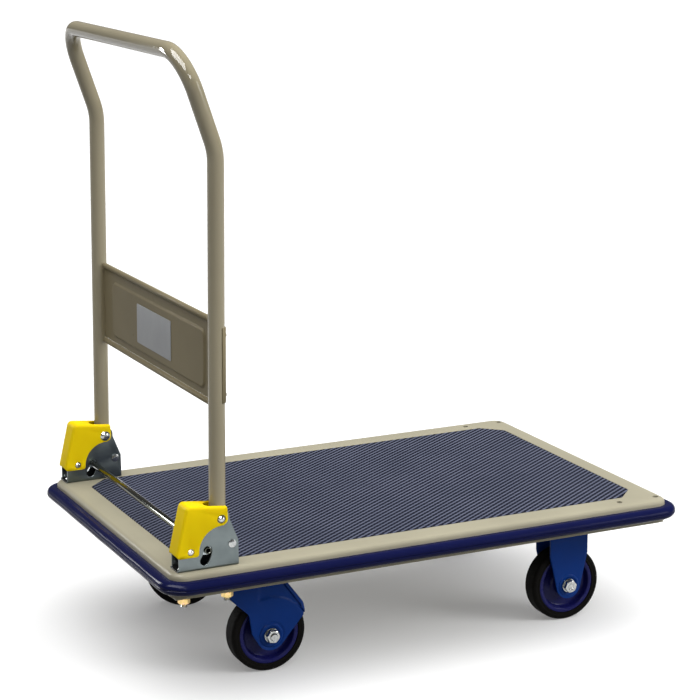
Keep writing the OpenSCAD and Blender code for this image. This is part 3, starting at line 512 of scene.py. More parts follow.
def chromated():
    """Yellow chromate over zinc: three tones that follow the film's thickness."""
    f = Finish("yellow chromate", Metallic=1.0, Roughness=0.3)
    film = f.noise(6, 3, rough=0.6)
    warm = f.blend(film.step(0.35, 0.55), (0.52, 0.41, 0.16), (0.74, 0.52, 0.21))
    f.set(Base_Color=f.blend(film.step(0.55, 0.75), warm, (0.74, 0.42, 0.38)),
          Roughness=0.26 + (f.noise(2, 2) - 0.5) * 0.2)
    f.bump(f.noise(1.0, 2), 0.01)
    return f.material


yellow_zinc = chromated()
show(zinc, bracket_plate, bright_steel, dull_steel, spring_steel, bar_chrome, yellow_zinc)

# %% [markdown]
# ## Plastics and rubber
# The bumper is a soft extrusion with a wet gloss, the covers are satin mouldings with a
# spark-eroded grain, the wheel centres are glossier, and tyres are matte with dusty
# patches. One recipe serves all but the tyres. Low refraction stands in here too.

# %% Plastic recipes
def moulded(name, colour, gloss, grain=0.8, depth=0.01, glow=0.0, shine=0.5, ior=1.45):
    """Moulded plastic: fine grain, slow flow marks and patchy gloss. Glow is the share of
    light that passes a few millimetres into the wall, as in a bright cover."""
    f = Finish(name, Specular_IOR_Level=shine, IOR=ior, Subsurface_Weight=glow,
               Subsurface_Scale=0.004)
    flow = f.noise(60, 3, stretch=(1, 1, 2))
    skin = f.noise(12, 3)
    f.set(Base_Color=tones(f, flow, colour, 0.04), Roughness=gloss + (skin - 0.5) * 0.12)
    f.bump(f.noise(grain, 1) * 0.6 + f.noise(grain * 6, 2) * 0.4, depth)
    return f.material


bumper_vinyl = moulded("navy bumper vinyl", (0.006, 0.008, 0.050), 0.18, grain=6, depth=0.02,
                       ior=1.12)
cover_plastic = moulded("yellow cover plastic", (0.98, 0.70, 0.006), 0.42, depth=0.008, glow=0.06,
                        ior=1.08)
rim_plastic = moulded("violet wheel plastic", (0.010, 0.011, 0.100), 0.28, shine=0.15)
black_plastic = moulded("black plastic", (0.012, 0.012, 0.012), 0.5)
bush_plastic = moulded("bush nylon", (0.45, 0.44, 0.40), 0.4)
plate_silver = moulded("silver plate", (0.255, 0.265, 0.275), 0.38, grain=0.6, depth=0.004,
                       shine=0.15)


def tyre_finish():
    """Tyre rubber: near black, with greyer, rougher patches of scuff and dust."""
    f = Finish("tyre rubber", Specular_IOR_Level=0.05)
    scuff = f.noise(5, 5, rough=0.65)
    dust = f.noise(35, 3)
    worn = scuff.step(0.45, 0.8) * dust
    f.set(Base_Color=f.blend(worn, (0.004, 0.0035, 0.003), (0.015, 0.013, 0.011)),
          Roughness=0.62 + (scuff - 0.5) * 0.25)
    f.bump(f.noise(0.9, 3) * 0.5 + scuff * 0.5, 0.05)
    return f.material


tyre_rubber = tyre_finish()
show(bumper_vinyl, cover_plastic, rim_plastic, black_plastic, bush_plastic, plate_silver, tyre_rubber)

# %% [markdown]
# ## The deck
# The deck is one steel pressing. Its rim is a profile carried round a rounded rectangle:
# a flat border, a bend into the skirt and a lip folded inwards at the bottom. The border is
# filled up to a shallow recess with cut corners, and eight bolt holes go through it.

# %% Deck profile
SHEET = 2.0
CORNER_R = 24.0
EDGE_R = 8.0
FLANGE = 7.0
RECESS = 1.5
WALL_TOP, WALL_FOOT, WALL_CORNER = 1.6, 0.7, 5.0
HOLE_EASE = 0.35
mat_low, mat_high = span("platform_mat")
MAT_MIDDLE = (mat_low + mat_high)[:2] / 2
MAT_L, MAT_W = (mat_high - mat_low)[:2]
MAT_CUT = 34.0


def rect_loop(length, width, r, steps=12):
    """Rounded rectangle about the origin, anticlockwise."""
    x, y = length / 2, width / 2
    return rounded([(x, -y), (x, y), (-x, y), (-x, -y)], r, steps)


def cut_loop(grow, soft):
    """The mat's outline with its four cut corners, grown by some millimetres."""
    x, y = MAT_L / 2 + grow, MAT_W / 2 + grow
    c = MAT_CUT + grow * (2 - math.sqrt(2))
    corners = [(x, -y + c), (x, y - c), (x - c, y), (c - x, y),
               (-x, y - c), (-x, c - y), (c - x, -y), (x - c, -y)]
    return rounded(corners, soft, 6) + MAT_MIDDLE


def carried(loop, profile):
    """A profile carried round a loop: rows of (outward distance, height)."""
    return [ring_at(inset(loop, -out), z) for out, z in profile]


def arc(r, start, end, centre, steps=8):
    """Points of an arc between two angles in degrees."""
    a = np.radians(np.linspace(start, end, steps + 1))
    return np.stack([np.cos(a), np.sin(a)], 1) * r + centre


outer_loop = rect_loop(DECK_L, DECK_W, CORNER_R)
WASHER_R = 9.5
washer_low, washer_high = span("bracket_washers")
BOLT_Y = washer_high[1] - WASHER_R
BOLT_X = [washer_low[0] + WASHER_R, washer_high[0] - WASHER_R]
spare = next(m for m in frame["record"]["mounts"] if m["name"] == "handle_bolt_holes")
SPARE_X = [spare["pos_m"][0] / MM + s * spare["dims"]["spacing_x_mm"] / 2 for s in (-1, 1)]
HOLE_R = spare["dims"]["hole_r_mm"]
print(f"bracket bolts at x {np.round(BOLT_X, 1)}, spare holes at x {np.round(SPARE_X, 1)}, y {BOLT_Y}")

# %% Build the deck
def hole_loops(xs, r):
    """Clockwise circles at both rows of bolt holes."""
    return [circle(r, (x, side * BOLT_Y))[::-1] for x in xs for side in (-1, 1)]


def deck_skin(depth, profile):
    """One face of the pressing: rim, border with holes, recess wall and bed."""
    soft, top = 0.9, DECK_TOP - depth
    quarter = np.linspace(0, np.pi / 2, 4)
    wall = [(WALL_TOP - soft * math.sin(a), top - soft * (1 - math.cos(a)) * 0.8) for a in quarter]
    wall += [(WALL_FOOT - soft * math.sin(a) * 0.5, top - RECESS + soft * (1 - math.sin(a)) * 0.8)
             for a in quarter]
    wall = [(cut_loop(grow, WALL_CORNER), z) for grow, z in wall]
    holes = [inset(h, -HOLE_EASE) for h in hole_loops(BOLT_X + SPARE_X, HOLE_R)]
    border = fill([inset(outer_loop, EDGE_R), cut_loop(WALL_TOP, WALL_CORNER)[::-1]] + holes)
    return [bands(carried(outer_loop, profile)), lift(border, top),
            bands([ring_at(loop, z) for loop, z in wall]),
            lift(fill([wall[-1][0]]), top - RECESS)], holes


skirt_out = np.concatenate([arc(EDGE_R, 90, 0, (-EDGE_R, DECK_TOP - EDGE_R)),
                            arc(1.6, 0, -90, (-1.6, LIP_Z + 1.6), 4), [(-FLANGE, LIP_Z)]])
skirt_in = np.concatenate([arc(EDGE_R - SHEET, 90, 0, (-EDGE_R, DECK_TOP - EDGE_R)),
                           [(-SHEET, LIP_Z + SHEET), (-FLANGE, LIP_Z + SHEET)]])
outside, holes = deck_skin(0, skirt_out)
underside, _ = deck_skin(SHEET, skirt_in)
hem = bands(carried(outer_loop, [(-FLANGE, LIP_Z), (-FLANGE, LIP_Z + SHEET)]))
bores = [bands([ring_at(h, DECK_TOP), ring_at(inset(h, HOLE_EASE), DECK_TOP - HOLE_EASE),
                ring_at(inset(h, HOLE_EASE), DECK_TOP - SHEET + HOLE_EASE),
                ring_at(h, DECK_TOP - SHEET)]) for h in holes]
make("deck_pressing", outside + underside + [hem] + bores, "root", deck_paint,
     ["deck_pan"], sharp=50)

# %% [markdown]
# ## The mat
# The vinyl mat is embossed all over with small lozenges that line up into diagonal ribs. The
# lozenges lie on a lattice of two slanted steps. The grid follows the lattice, with a few
# points to a lozenge, so the relief is real geometry, and points past the edge are pulled
# back onto the outline.

# %% Mat relief
STEP_X, STEP_Y = 7.55, 5.13
PER_CELL = 4
RIB_DEPTH = 0.55
RIM_HEIGHT = 0.4


def lozenge_height(x, y):
    """Two crossed waves on the lattice, the falling one stronger: ribs with small notches."""
    rib = np.cos(np.pi * (x / STEP_X - y / STEP_Y))
    notch = np.cos(np.pi * (x / STEP_X + y / STEP_Y))
    return 0.5 + 0.36 * rib + 0.14 * notch


def pulled_in(points, loop):
    """Points outside a convex loop moved to its nearest boundary point."""
    a, b = loop, np.roll(loop, -1, 0)
    out = ~inside(points, [loop])
    p = points[out][:, None]
    along = ((p - a) * (b - a)).sum(2) / np.maximum(((b - a) ** 2).sum(1), 1e-9)
    foot = a + np.clip(along, 0, 1)[..., None] * (b - a)
    nearest = np.linalg.norm(p - foot, axis=2).argmin(1)
    moved = points.copy()
    moved[out] = foot[np.arange(len(nearest)), nearest]
    return moved, out


def mat_top(edge):
    """Lattice grid over the mat's outline: point = i * (dx, dy) + j * (dx, -dy)."""
    reach = int((MAT_L / STEP_X + MAT_W / STEP_Y) / 4 * PER_CELL) + PER_CELL
    i, j = np.meshgrid(np.arange(-reach, reach + 1), np.arange(-reach, reach + 1), indexing="ij")
    flat = np.stack([(i + j) * STEP_X / PER_CELL, (i - j) * STEP_Y / PER_CELL], -1)
    flat = flat.reshape(-1, 2) + MAT_MIDDLE
    near = (np.abs(flat - MAT_MIDDLE) < (MAT_L / 2 + 6, MAT_W / 2 + 6)).all(1)
    within = np.zeros(len(flat), bool)
    within[near] = inside(flat[near], [edge])
    quads = grid_faces(*i.shape)
    quads = quads[within[quads].any(1)]
    used, faces = np.unique(quads, return_inverse=True)
    flat, out = pulled_in(flat[used], edge)
    relief = np.where(out, RIM_HEIGHT, lozenge_height(*(flat - MAT_MIDDLE).T))
    return np.column_stack([flat, mat_high[2] - RIB_DEPTH * (1 - relief)]), faces.reshape(-1, 4)


mat_edge = cut_loop(-0.1, 4.0)
mat_rim = [ring_at(inset(mat_edge, 1.4), mat_high[2] - 1.1),
           ring_at(inset(mat_edge, 0.9), mat_high[2] - 0.35),
           ring_at(inset(mat_edge, 0.3), mat_high[2] - 0.45), ring_at(mat_edge, mat_high[2] - 0.9),
           ring_at(mat_edge, mat_low[2]), ring_at(inset(mat_edge, 1.4), mat_low[2])]


def mat_finish():
    """Slate-blue vinyl whose colour follows the relief: the paler rib tops are painted light, and the
    near black notches between them are painted shade.
    """
    f = Finish("slate mat vinyl", IOR=1.10)
    x, y, _ = f.axes()
    x, y = (x - MAT_MIDDLE[0]) / STEP_X * math.pi, (y - MAT_MIDDLE[1]) / STEP_Y * math.pi
    rib, notch = (x - y + math.pi / 2).sin() * 0.36, (x + y + math.pi / 2).sin() * 0.14
    height = 0.5 + rib + notch
    cloud = f.noise(90, 4)
    crest = f.blend(cloud.step(0.3, 0.7), (0.128, 0.142, 0.200), (0.152, 0.166, 0.232))
    # painted light and shade: colour by relief height, near black in the notches and pale on the rib
    # tops
    f.set(Base_Color=f.blend(height.step(0.34, 0.95), (0.007, 0.008, 0.017), crest),
          Roughness=0.55 + (f.noise(7, 3) - 0.5) * 0.2 - height * 0.12)
    f.bump(f.noise(0.9, 2), 0.03)
    return f.material


mat_vinyl = mat_finish()
mat_parts = [mat_top(inset(mat_edge, 0.8)), surface(np.stack(mat_rim), wrap_rows=True, wrap_cols=True)]
make("ribbed_mat", mat_parts, "root", mat_vinyl, ["platform_mat"], sharp=60,
     close_at=mat_low[2] + 0.1)

# %% [markdown]
# ## The bumper
# The bumper is a vinyl extrusion with a D-shaped section and one groove along its nose,
# pushed round the deck's skirt. The section is carried round the deck's outline. Near the
# handle end the soft strip was stretched round the corners, so its nose wanders inwards a
# little, and the highlights show it.

# %% Bumper section and sweep
bumper_low, bumper_high = span("bumper")
NOSE_Z = (bumper_low[2] + bumper_high[2]) / 2
NOSE_R = (bumper_high[2] - bumper_low[2]) / 2
NOSE_OUT = bumper_high[0] - deck_high[0] - NOSE_R


def resampled(loop, step):
    """A closed loop with extra points, so that none are further apart than step."""
    ends = np.roll(loop, -1, 0)
    count = np.maximum(np.ceil(np.linalg.norm(ends - loop, axis=1) / step).astype(int), 1)
    which = np.repeat(np.arange(len(loop)), count)
    share = (np.arange(len(which)) - np.repeat(np.cumsum(count) - count, count)) / count[which]
    return loop[which] + (ends - loop)[which] * share[:, None]


def bumper_section():
    """Closed section of (outward distance, height): flat back, round nose with a groove."""
    upper = arc(NOSE_R, 90, 6, (NOSE_OUT, 0), 16)
    groove = [(NOSE_OUT + 9.75, 0.75), (NOSE_OUT + 9.15, 0.35), (NOSE_OUT + 9.0, 0.1)]
    half = np.concatenate([[(0.3, NOSE_R), (3.0, NOSE_R)], upper, groove])
    return np.concatenate([half, half[::-1] * (1, -1)]) + (0, NOSE_Z)


print(f"bumper nose {NOSE_R:.1f} mm round, {NOSE_OUT:.1f} mm out from the skirt")


bumper_loop = resampled(rect_loop(DECK_L, DECK_W, CORNER_R, 20), 14)
u = np.arange(len(bumper_loop)) / len(bumper_loop) * 2 * np.pi
soft_end = 1 / (1 + np.exp((bumper_loop[:, 0] + 360) / 30))
wander = soft_end * 0.35 * (1 - np.sin(u * 23 + 0.4) * np.sin(u * 9)) + 0.08 * (1 + np.sin(u * 31))
rows = [ring_at(inset(bumper_loop, -(out - wander * max(out - 6, 0) / 12)), z)
        for out, z in bumper_section()]
make("nose_bumper", surface(np.stack(rows), wrap_rows=True, wrap_cols=True), "root",
     bumper_vinyl, ["bumper"], sharp=60)

# %% [markdown]
# ## The handle's tube
# The handle is one steel tube bent in two planes. Each ring of points stands across the
# path's direction. A ring needs one steady side direction, or the tube would twist: here
# that is the normal of the plane in which the path runs, which leans back past the bend.

# %% Handle path
LEAN = math.radians(1.0)
TUBE_R = 12.7
TAIL = 41.0
TUBE_EASE = 0.4
BEND_H, BEND_R, BEND = 549.5, 100.0, math.radians(19.5)
SLOPE_L, TOP_R = 151.5, 60.0
AHEAD = np.array([math.cos(LEAN), 0, -math.sin(LEAN)])
UPWARDS = np.array([math.sin(LEAN), 0, math.cos(LEAN)])


def at_handle(parts):
    """Parts drawn in the handle's own frame, with the pivot at the origin and +Z up the tube."""
    return turned(parts, AHEAD, Y, UPWARDS, PIVOT)


def handle_path():
    """Centre line from one tail to the other, and the lean of its plane at each point. The
    upright is straight, the bend is an arc of BEND_R, the corners are arcs of TOP_R."""
    cut = BEND_R * math.tan(BEND / 2)
    t = np.linspace(0, BEND, 15)
    bend = np.stack([BEND_R * (np.cos(t) - 1), 0 * t, BEND_H - cut + BEND_R * np.sin(t)], 1)
    rise = np.array([-math.sin(BEND), 0, math.cos(BEND)])
    corner = np.radians(np.linspace(0, 90, 25))[:, None]
    knee = np.array([0, 0, BEND_H])
    top = knee + rise * (SLOPE_L - TOP_R + TOP_R * np.sin(corner)) + Y * TOP_R * (np.cos(corner) - 1)
    foot = np.array([-TAIL, -TAIL / 2, 120.0])[:, None] * Z
    half = np.concatenate([foot, bend, top]) + Y * HINGE_Y
    lean = np.concatenate([np.zeros(3), t, np.full(len(top), BEND)])
    return np.concatenate([half, half[::-1] * (1, -1, 1)]), np.concatenate([lean, lean[::-1]])


def tube(path, side, radius, steps):
    """Rings round a path: centre + radius * (side cos a + (direction x side) sin a)."""
    direction = unit(np.gradient(path, axis=0))
    direction[0], direction[-1] = unit(path[1] - path[0]), unit(path[-1] - path[-2])
    side = unit(side - direction * (side * direction).sum(1, keepdims=True))
    other = np.cross(direction, side)
    a = (np.arange(steps) * 2 * np.pi / steps)[None, :, None]
    r = np.reshape(radius, (-1, 1, 1))
    return path[:, None] + r * (side[:, None] * np.cos(a) + other[:, None] * np.sin(a))


def capped(rings):
    """Rings closed at both ends by a fan from each end's centre."""
    n = rings.shape[1]
    fan = np.stack([np.arange(n), (np.arange(n) + 1) % n, np.full(n, n)], 1)
    ends = [(np.vstack([ring, ring.mean(0)]), fan) for ring in (rings[0], rings[-1])]
    return [surface(rings, wrap_cols=True)] + ends


def eased_ends(path, side, radius):
    """A path whose ends are drawn in by a small round, with the radii and sides to match."""
    a = np.radians([0, 30, 60, 90])[:, None]
    first, last = unit(path[1] - path[0]), unit(path[-1] - path[-2])
    start = path[0] + first * TUBE_EASE * (1 - np.sin(a))
    end = path[-1] - last * TUBE_EASE * (1 - np.sin(a))
    r = radius - TUBE_EASE * (1 - np.cos(a[:, 0]))
    full = np.concatenate([start[::-1], path[1:-1], end])
    radii = np.concatenate([r[::-1], np.full(len(path) - 2, radius), r])
    sides = np.concatenate([np.repeat(side[:1], len(a), 0), side[1:-1],
                            np.repeat(side[-1:], len(a), 0)])
    return full, sides, radii


path, lean = handle_path()
path_side = np.stack([np.cos(lean), 0 * lean, np.sin(lean)], 1)
path, path_side, radii = eased_ends(path, path_side, TUBE_R - 0.06)
make("push_handle", at_handle(capped(tube(path, path_side, radii, 44))), "handle",
     handle_paint, ["handle_tube"])

# %% [markdown]
# ## Plugs and bushes
# A plastic plug closes the lower end of each upright, and a nylon bush lines the hole that
# the pivot pin runs in. Both are turned shapes, so a profile is spun about an axis, which
# `stepped` then points in any direction.

# %% Plugs and bushes
def axes_along(out):
    """Three directions at right angles, the last of them along out."""
    out = unit(np.array(out, float))
    side = unit(np.cross(out, X if abs(out[0]) < 0.9 else Y))
    return side, np.cross(out, side), out


def stepped(profile, place, out, steps=48):
    """A lathe part whose axis points along out from a place."""
    return turned(lathe(profile, steps), *axes_along(out), place)


def rounded_disc(r, h, ease, dish):
    """Profile of a disc from height 0 to h with an eased upper edge and a slight dish."""
    a = np.radians(np.linspace(0, 90, 5))
    edge = np.stack([r - ease * (1 - np.cos(a)), h - ease * (1 - np.sin(a))], 1)
    return np.concatenate([[(0, 0), (r, 0)], edge, [(r * 0.6, h - dish), (0, h - dish)]])


plug = stepped(rounded_disc(TUBE_R - 0.1, 1.7, 0.9, 0.5), (0, HINGE_Y, -TAIL), -Z)
make("tail_plugs", at_handle(both(plug)), "handle", black_plastic, ["tube_plugs"])
BUSH_HALF = TUBE_R + 0.15
sleeve_rows = [(5.1, 0), (6.1, 0), (6.5, -0.4), (6.5, -2 * BUSH_HALF + 0.4),
               (6.1, -2 * BUSH_HALF), (5.1, -2 * BUSH_HALF), (5.1, 0)]
bush = stepped(sleeve_rows, (0, HINGE_Y + BUSH_HALF, 0), Y)
make("pivot_sleeves", at_handle(both(bush)), "handle", bush_plastic, ["pivot_bushes"])

# %% [markdown]
# ## The handle's panel
# A pressed sheet joins the uprights. Its upper and lower edges are rolled into beads, a
# field in its middle is pressed towards the user, and its ends are wrapped round the tubes
# and riveted. The sheet is a flat grid, and the field is a smooth step of the distance to a
# rounded rectangle. The beads and the wrapped ends are parts of their own, because one grid
# over all of them would need far more points.

# %% Sheet metal from a grid
def border(grid):
    """The points round a grid's edge, in order."""
    return np.concatenate([grid[0, :-1], grid[:-1, -1], grid[-1, :0:-1], grid[:0:-1, 0]])


def two_skins(front, back):
    """Two grids of equal size, joined round their borders by a strip."""
    return [surface(front), surface(back), bands([border(front), border(back)])]


def thick(points, t):
    """A grid given a thickness: the second skin lies t along minus the grid's normals."""
    du, dv = np.gradient(points, axis=0), np.gradient(points, axis=1)
    return two_skins(points, points - t * unit(np.cross(du, dv)))


def rect_distance(y, z, half_y, half_z, r):
    """Distance to a rounded rectangle, negative inside."""
    qy, qz = np.abs(y) - half_y + r, np.abs(z) - half_z + r
    return np.hypot(np.maximum(qy, 0), np.maximum(qz, 0)) + np.minimum(np.maximum(qy, qz), 0) - r


def smooth(v):
    """Cubic step from zero to one."""
    v = np.clip(v, 0, 1)
    return v * v * (3 - 2 * v)


PANEL_LOW, PANEL_H, PANEL_X, PANEL_T, ROLL_R = 162.0, 137.0, 5.0, 1.5, 4.5
FIELD_Z, FIELD_Y, FIELD_H, FIELD_RAISE = PANEL_LOW + PANEL_H / 2 - 2, 205.0, 46.0, 2.5
low_z, high_z = PANEL_LOW + ROLL_R, PANEL_LOW + PANEL_H - ROLL_R


def panel_grid():
    """The flat sheet between the beads, with rows close together where the field's edge is.
    x = sheet plane - raise * step(distance to the field) - a slight sag."""
    steps = np.concatenate([np.linspace(low_z + 5.5, FIELD_Z - FIELD_H - 4, 5),
                            np.linspace(FIELD_Z - FIELD_H - 2.5, FIELD_Z - FIELD_H + 12, 13),
                            np.linspace(FIELD_Z - FIELD_H + 18, FIELD_Z + FIELD_H - 18, 6),
                            np.linspace(FIELD_Z + FIELD_H - 12, FIELD_Z + FIELD_H + 2.5, 13),
                            np.linspace(FIELD_Z + FIELD_H + 4, high_z - 5.5, 5)])
    edge_y = HINGE_Y - 12.3
    ys = np.concatenate([np.linspace(-edge_y, -FIELD_Y - 4, 8),
                         np.linspace(-FIELD_Y - 2.5, -FIELD_Y + 12, 13),
                         np.linspace(-FIELD_Y + 30, -30, 8)])
    ys = np.concatenate([ys, -ys[::-1]])
    y, z = np.meshgrid(ys, steps, indexing="xy")
    field = smooth(-rect_distance(y, z - FIELD_Z, FIELD_Y, FIELD_H, 14) / 3.2 + 0.15)
    sag = 0.5 * np.sin(np.pi * (z - low_z) / (high_z - low_z)) * np.cos(y / edge_y * np.pi / 2)
    return np.stack([PANEL_X - FIELD_RAISE * field - sag * 0.25, y, z], -1)


bead = arc(ROLL_R, 90, 450, (PANEL_X, 0), 28)[:-1]
bead_y = np.array([-HINGE_Y + 14.2, -HINGE_Y + 15.2, HINGE_Y - 15.2, HINGE_Y - 14.2])


def bead_bar(z0):
    """A rolled bead: the section swept between the uprights, with eased ends."""
    shrink = np.array([0.9, 1, 1, 0.9])[:, None, None]
    rings = np.stack([np.column_stack([bead[:, 0], np.full(len(bead), y), bead[:, 1] + z0])
                      for y in bead_y])
    centre = rings.mean(1, keepdims=True)
    return capped(centre + (rings - centre) * shrink)


def saddle():
    """The sheet's end wrapped round the tube: an arc of wall from the sheet's face to the
    front, between two radii, over the panel's height."""
    r0, r1 = TUBE_R + 0.06, TUBE_R + 0.05 + PANEL_T
    a = np.linspace(-math.acos(PANEL_X / r1), math.acos(PANEL_X / r1), 29)
    z0, z1 = PANEL_LOW + 14, PANEL_LOW + PANEL_H - 9
    arch = lambda r, z: np.stack([r * np.cos(a), r * np.sin(a), np.full(len(a), z)], 1)
    front = [arch(r1 - 0.4, z0), arch(r1, z0 + 0.4), arch(r1, z1 - 0.4), arch(r1 - 0.4, z1)]
    back = [arch(r0, z) for z in (z0, z0 + 0.4, z1 - 0.4, z1)]
    return moved(two_skins(np.stack(front), np.stack(back)), (0, HINGE_Y, 0))


panel_parts = thick(panel_grid(), PANEL_T) + bead_bar(low_z) + bead_bar(high_z) + both(saddle())
make("pressed_panel", at_handle(panel_parts), "handle", panel_paint,
     ["handle_panel"], sharp=50)

# %% [markdown]
# ## Rivets and the blank plate
# Four domed rivets hold the panel's ends on the tubes, and a thin silver plate lies on the
# field. The plate is bare. A dome is a cap of a ball, turned like the plugs, and its flat top
# is optional, because pin heads share the shape.

# %% Rivets and the blank plate
def dome_profile(r, h, skirt=0.0, flat=0.0):
    """A domed head: a circular cap of height h on a short skirt, with an optional flat top."""
    ball = (r * r + h * h) / (2 * h)
    a = np.linspace(math.asin(r / ball), math.asin(flat / ball) if flat else 0, 11)
    cap = np.stack([ball * np.sin(a), ball * np.cos(a) + h - ball + skirt], 1)
    return np.concatenate([[(0, 0), (r, 0)], cap, [(0, cap[-1, 1])] if flat else cap[:0]])


rivets = [p for z in (PANEL_LOW + 25, PANEL_LOW + PANEL_H - 22)
          for p in stepped(dome_profile(4.0, 1.8), (TUBE_R + 1.5, HINGE_Y, z), X, 32)]
make("panel_rivet_heads", at_handle(both(rivets)), "handle", handle_paint,
     ["panel_rivets"])
PLATE_X = PANEL_X - FIELD_RAISE - 0.42
plate_loop = rounded([(-76, -32), (76, -32), (76, 32), (-76, 32)], 3, 6)
blank_plate = turned(plate([plate_loop], 0.7, 0.3), Y, Z, -X, (PLATE_X, 8, FIELD_Z))
make("blank_plate_face", at_handle(blank_plate), "handle", plate_silver,
     ["blank_plate"])

# %% [markdown]
# ## The hinge brackets
# Each bracket is a channel bent from zinc-plated sheet. Two side plates stand on a floor
# that is bolted to the deck, and the bends between them have a real radius, which throws
# the thin shadow along the deck. Pins, a latch bolt and the foot bar's curved slot pass
# through both plates.

# %% Bracket plates and trough
BRACKET_X, BRACKET_END = -425.0, -328.5
PLATE_T, HALF_IN, HALF_OUT = 2.5, 13.0, 15.5
LATCH = middle("latch_bolts") * (1, 0, 1)
BAR = middle("foot_bar")
STOP = middle("stop_pins") * (1, 0, 1)
EAR, BEND_OUT = 14.0, 3.0
pivot, latch, bar, stop = (p[[0, 2]] for p in (PIVOT, LATCH, BAR, STOP))


def slot_loop(w, start, end):
    """A curved slot about the latch bolt: outer arc, round end, inner arc, round end."""
    reach, steps = np.hypot(*(bar - latch)), 14
    first, last = (latch + reach * np.array([math.cos(a), math.sin(a)])
                   for a in map(math.radians, (start, end)))
    return np.concatenate([arc(reach + w, start, end, latch, steps),
                           arc(w, end, end - 180, last, steps)[1:-1],
                           arc(reach - w, end, start, latch, steps),
                           arc(w, start - 180, start - 360, first, steps)[1:-1]])


PLATE_FOOT = DECK_TOP + BEND_OUT + 0.02
side_corners = [(BRACKET_X, PLATE_FOOT), (BRACKET_END, PLATE_FOOT), (BRACKET_END, DECK_TOP + 39),
                (pivot[0] + EAR, pivot[1] - 2), (pivot[0] + EAR, pivot[1] + EAR),
                (pivot[0] - EAR, pivot[1] + EAR), (pivot[0] - EAR, pivot[1]),
                (BRACKET_X + 9, latch[1] + 22), (BRACKET_X, latch[1] + 2)]
side_outline = rounded(side_corners, [0.05, 0.05, 5, 4, 11.5, 11.5, 3, 6, 3], 7)
side_edge = np.where(side_outline[:, 1] < DECK_TOP + BEND_OUT + 0.5, 0.05, 0.45)
side_holes = [circle(5.2, pivot)[::-1], circle(3.2, latch, 32)[::-1], circle(5.1, stop)[::-1],
              slot_loop(7.0, -3, -38)]
side_plate = plate([side_outline] + side_holes, PLATE_T, [side_edge] + [0.45] * 4)
low_bend = arc(BEND_OUT, 180, 270, (-HALF_OUT + BEND_OUT, BEND_OUT), 8)
high_bend = arc(0.5, 270, 180, (-HALF_IN + 0.5, BEND_OUT), 3)
trough = np.concatenate([low_bend, low_bend[::-1] * (-1, 1), high_bend[::-1] * (-1, 1), high_bend])
trough_x = np.array([BRACKET_X - 2, BRACKET_X - 1.7, BRACKET_END - 0.3, BRACKET_END])
trough_rings = np.stack([np.column_stack([np.full(len(trough), x), trough[:, 0] + HINGE_Y,
                                          trough[:, 1] + DECK_TOP]) for x in trough_x])


def end_face(ring):
    """The filled outline of a ring that stands across X."""
    points, faces = fill([ring[:, 1:]])
    return np.column_stack([np.full(len(points), ring[0, 0]), points]), faces


def ended(rings):
    """Rings joined by quads, with both end outlines filled."""
    return [surface(rings, wrap_cols=True), end_face(rings[0]), end_face(rings[-1])]


bracket = twice_across(side_plate, HINGE_Y, (HALF_IN + HALF_OUT) / 2) + ended(trough_rings)
make("bracket_left", bracket, "root", bracket_plate, ["hinge_bracket_left"])
make("bracket_right", mirrored(bracket), "root", bracket_plate, ["hinge_bracket_right"])

# %% [markdown]
# ## Shells pressed or moulded in one piece
# The hinge covers and the swivel forks have the same build: two equal side faces, joined
# over part of their outline by a wall, with a soft bend between face and wall. The bend is
# a row of inset outlines whose depth and height follow a quarter circle, and its radius may
# differ from point to point. Solidify then gives the skin its wall thickness.

# %% Shell builder
SHELL_EASE, SHELL_SHARP = 0.5, 35


def fillet(a, b, c, r, steps=6):
    """The arc of radius r that rounds corner b between its neighbours a and c."""
    return rounded([a, b, c], [0.3, r, 0.3], steps)[steps + 1:2 * steps + 2]


def shell(loop, radius, half, wall, holes, extra=None, relief=None, rows=6, spans=5):
    """Skin with side faces at y = +-half. At angle t the bend lies radius * (1 - cos t)
    inside the outline and radius * (1 - sin t) in from the face; the wall spans some columns."""
    t = np.linspace(np.pi / 2, 0, rows + 1)
    rings = [(inset(loop, radius * (1 - np.cos(a))), half - radius * (1 - np.sin(a))) for a in t]
    grid = np.stack([np.column_stack([p[:, 0], y, p[:, 1]]) for p, y in rings])
    points, faces = fill([rings[0][0]] + list(holes), extra)
    push = relief(points) if relief else 0
    face = (np.column_stack([points[:, 0], np.full(len(points), half) - push, points[:, 1]]), faces)
    rim = grid[-1][wall]
    s = np.linspace(1, -1, spans)[:, None, None]
    wall_grid = rim * (1, 0, 1) + rim * (0, 1, 0) * s
    return both([face, surface(grid, wrap_cols=True)]) + [surface(wall_grid)]


def shell_piece(name, parts, centre, body, finish, node, t):
    """Makes a skin into a wall of thickness t with eased edges. The faces are turned so that
    their normals point away from the centre, a point inside the shell."""
    obj = make(name, parts, body, finish, [node], SHELL_SHARP)
    mesh = obj.data
    n = len(mesh.polygons)
    centres, normals, area = np.empty(n * 3), np.empty(n * 3), np.empty(n)
    mesh.polygons.foreach_get("center", centres)
    mesh.polygons.foreach_get("normal", normals)
    mesh.polygons.foreach_get("area", area)
    centres, normals = centres.reshape(-1, 3), normals.reshape(-1, 3)
    outward = ((normals * (centres - np.array(centre) * MM)).sum(1) * area).sum()
    if outward < 0:
        mesh.flip_normals()
    wall = obj.modifiers.new("wall", "SOLIDIFY")
    wall.thickness, wall.offset = t * MM, -1
    wall.use_even_offset = wall.use_quality_normals = True
    eased = obj.modifiers.new("eased edges", "BEVEL")
    eased.width, eased.segments = SHELL_EASE * MM, 2
    eased.limit_method, eased.angle_limit = "ANGLE", math.radians(55)
    print("  outward:", outward > 0, "wall", t, "mm")


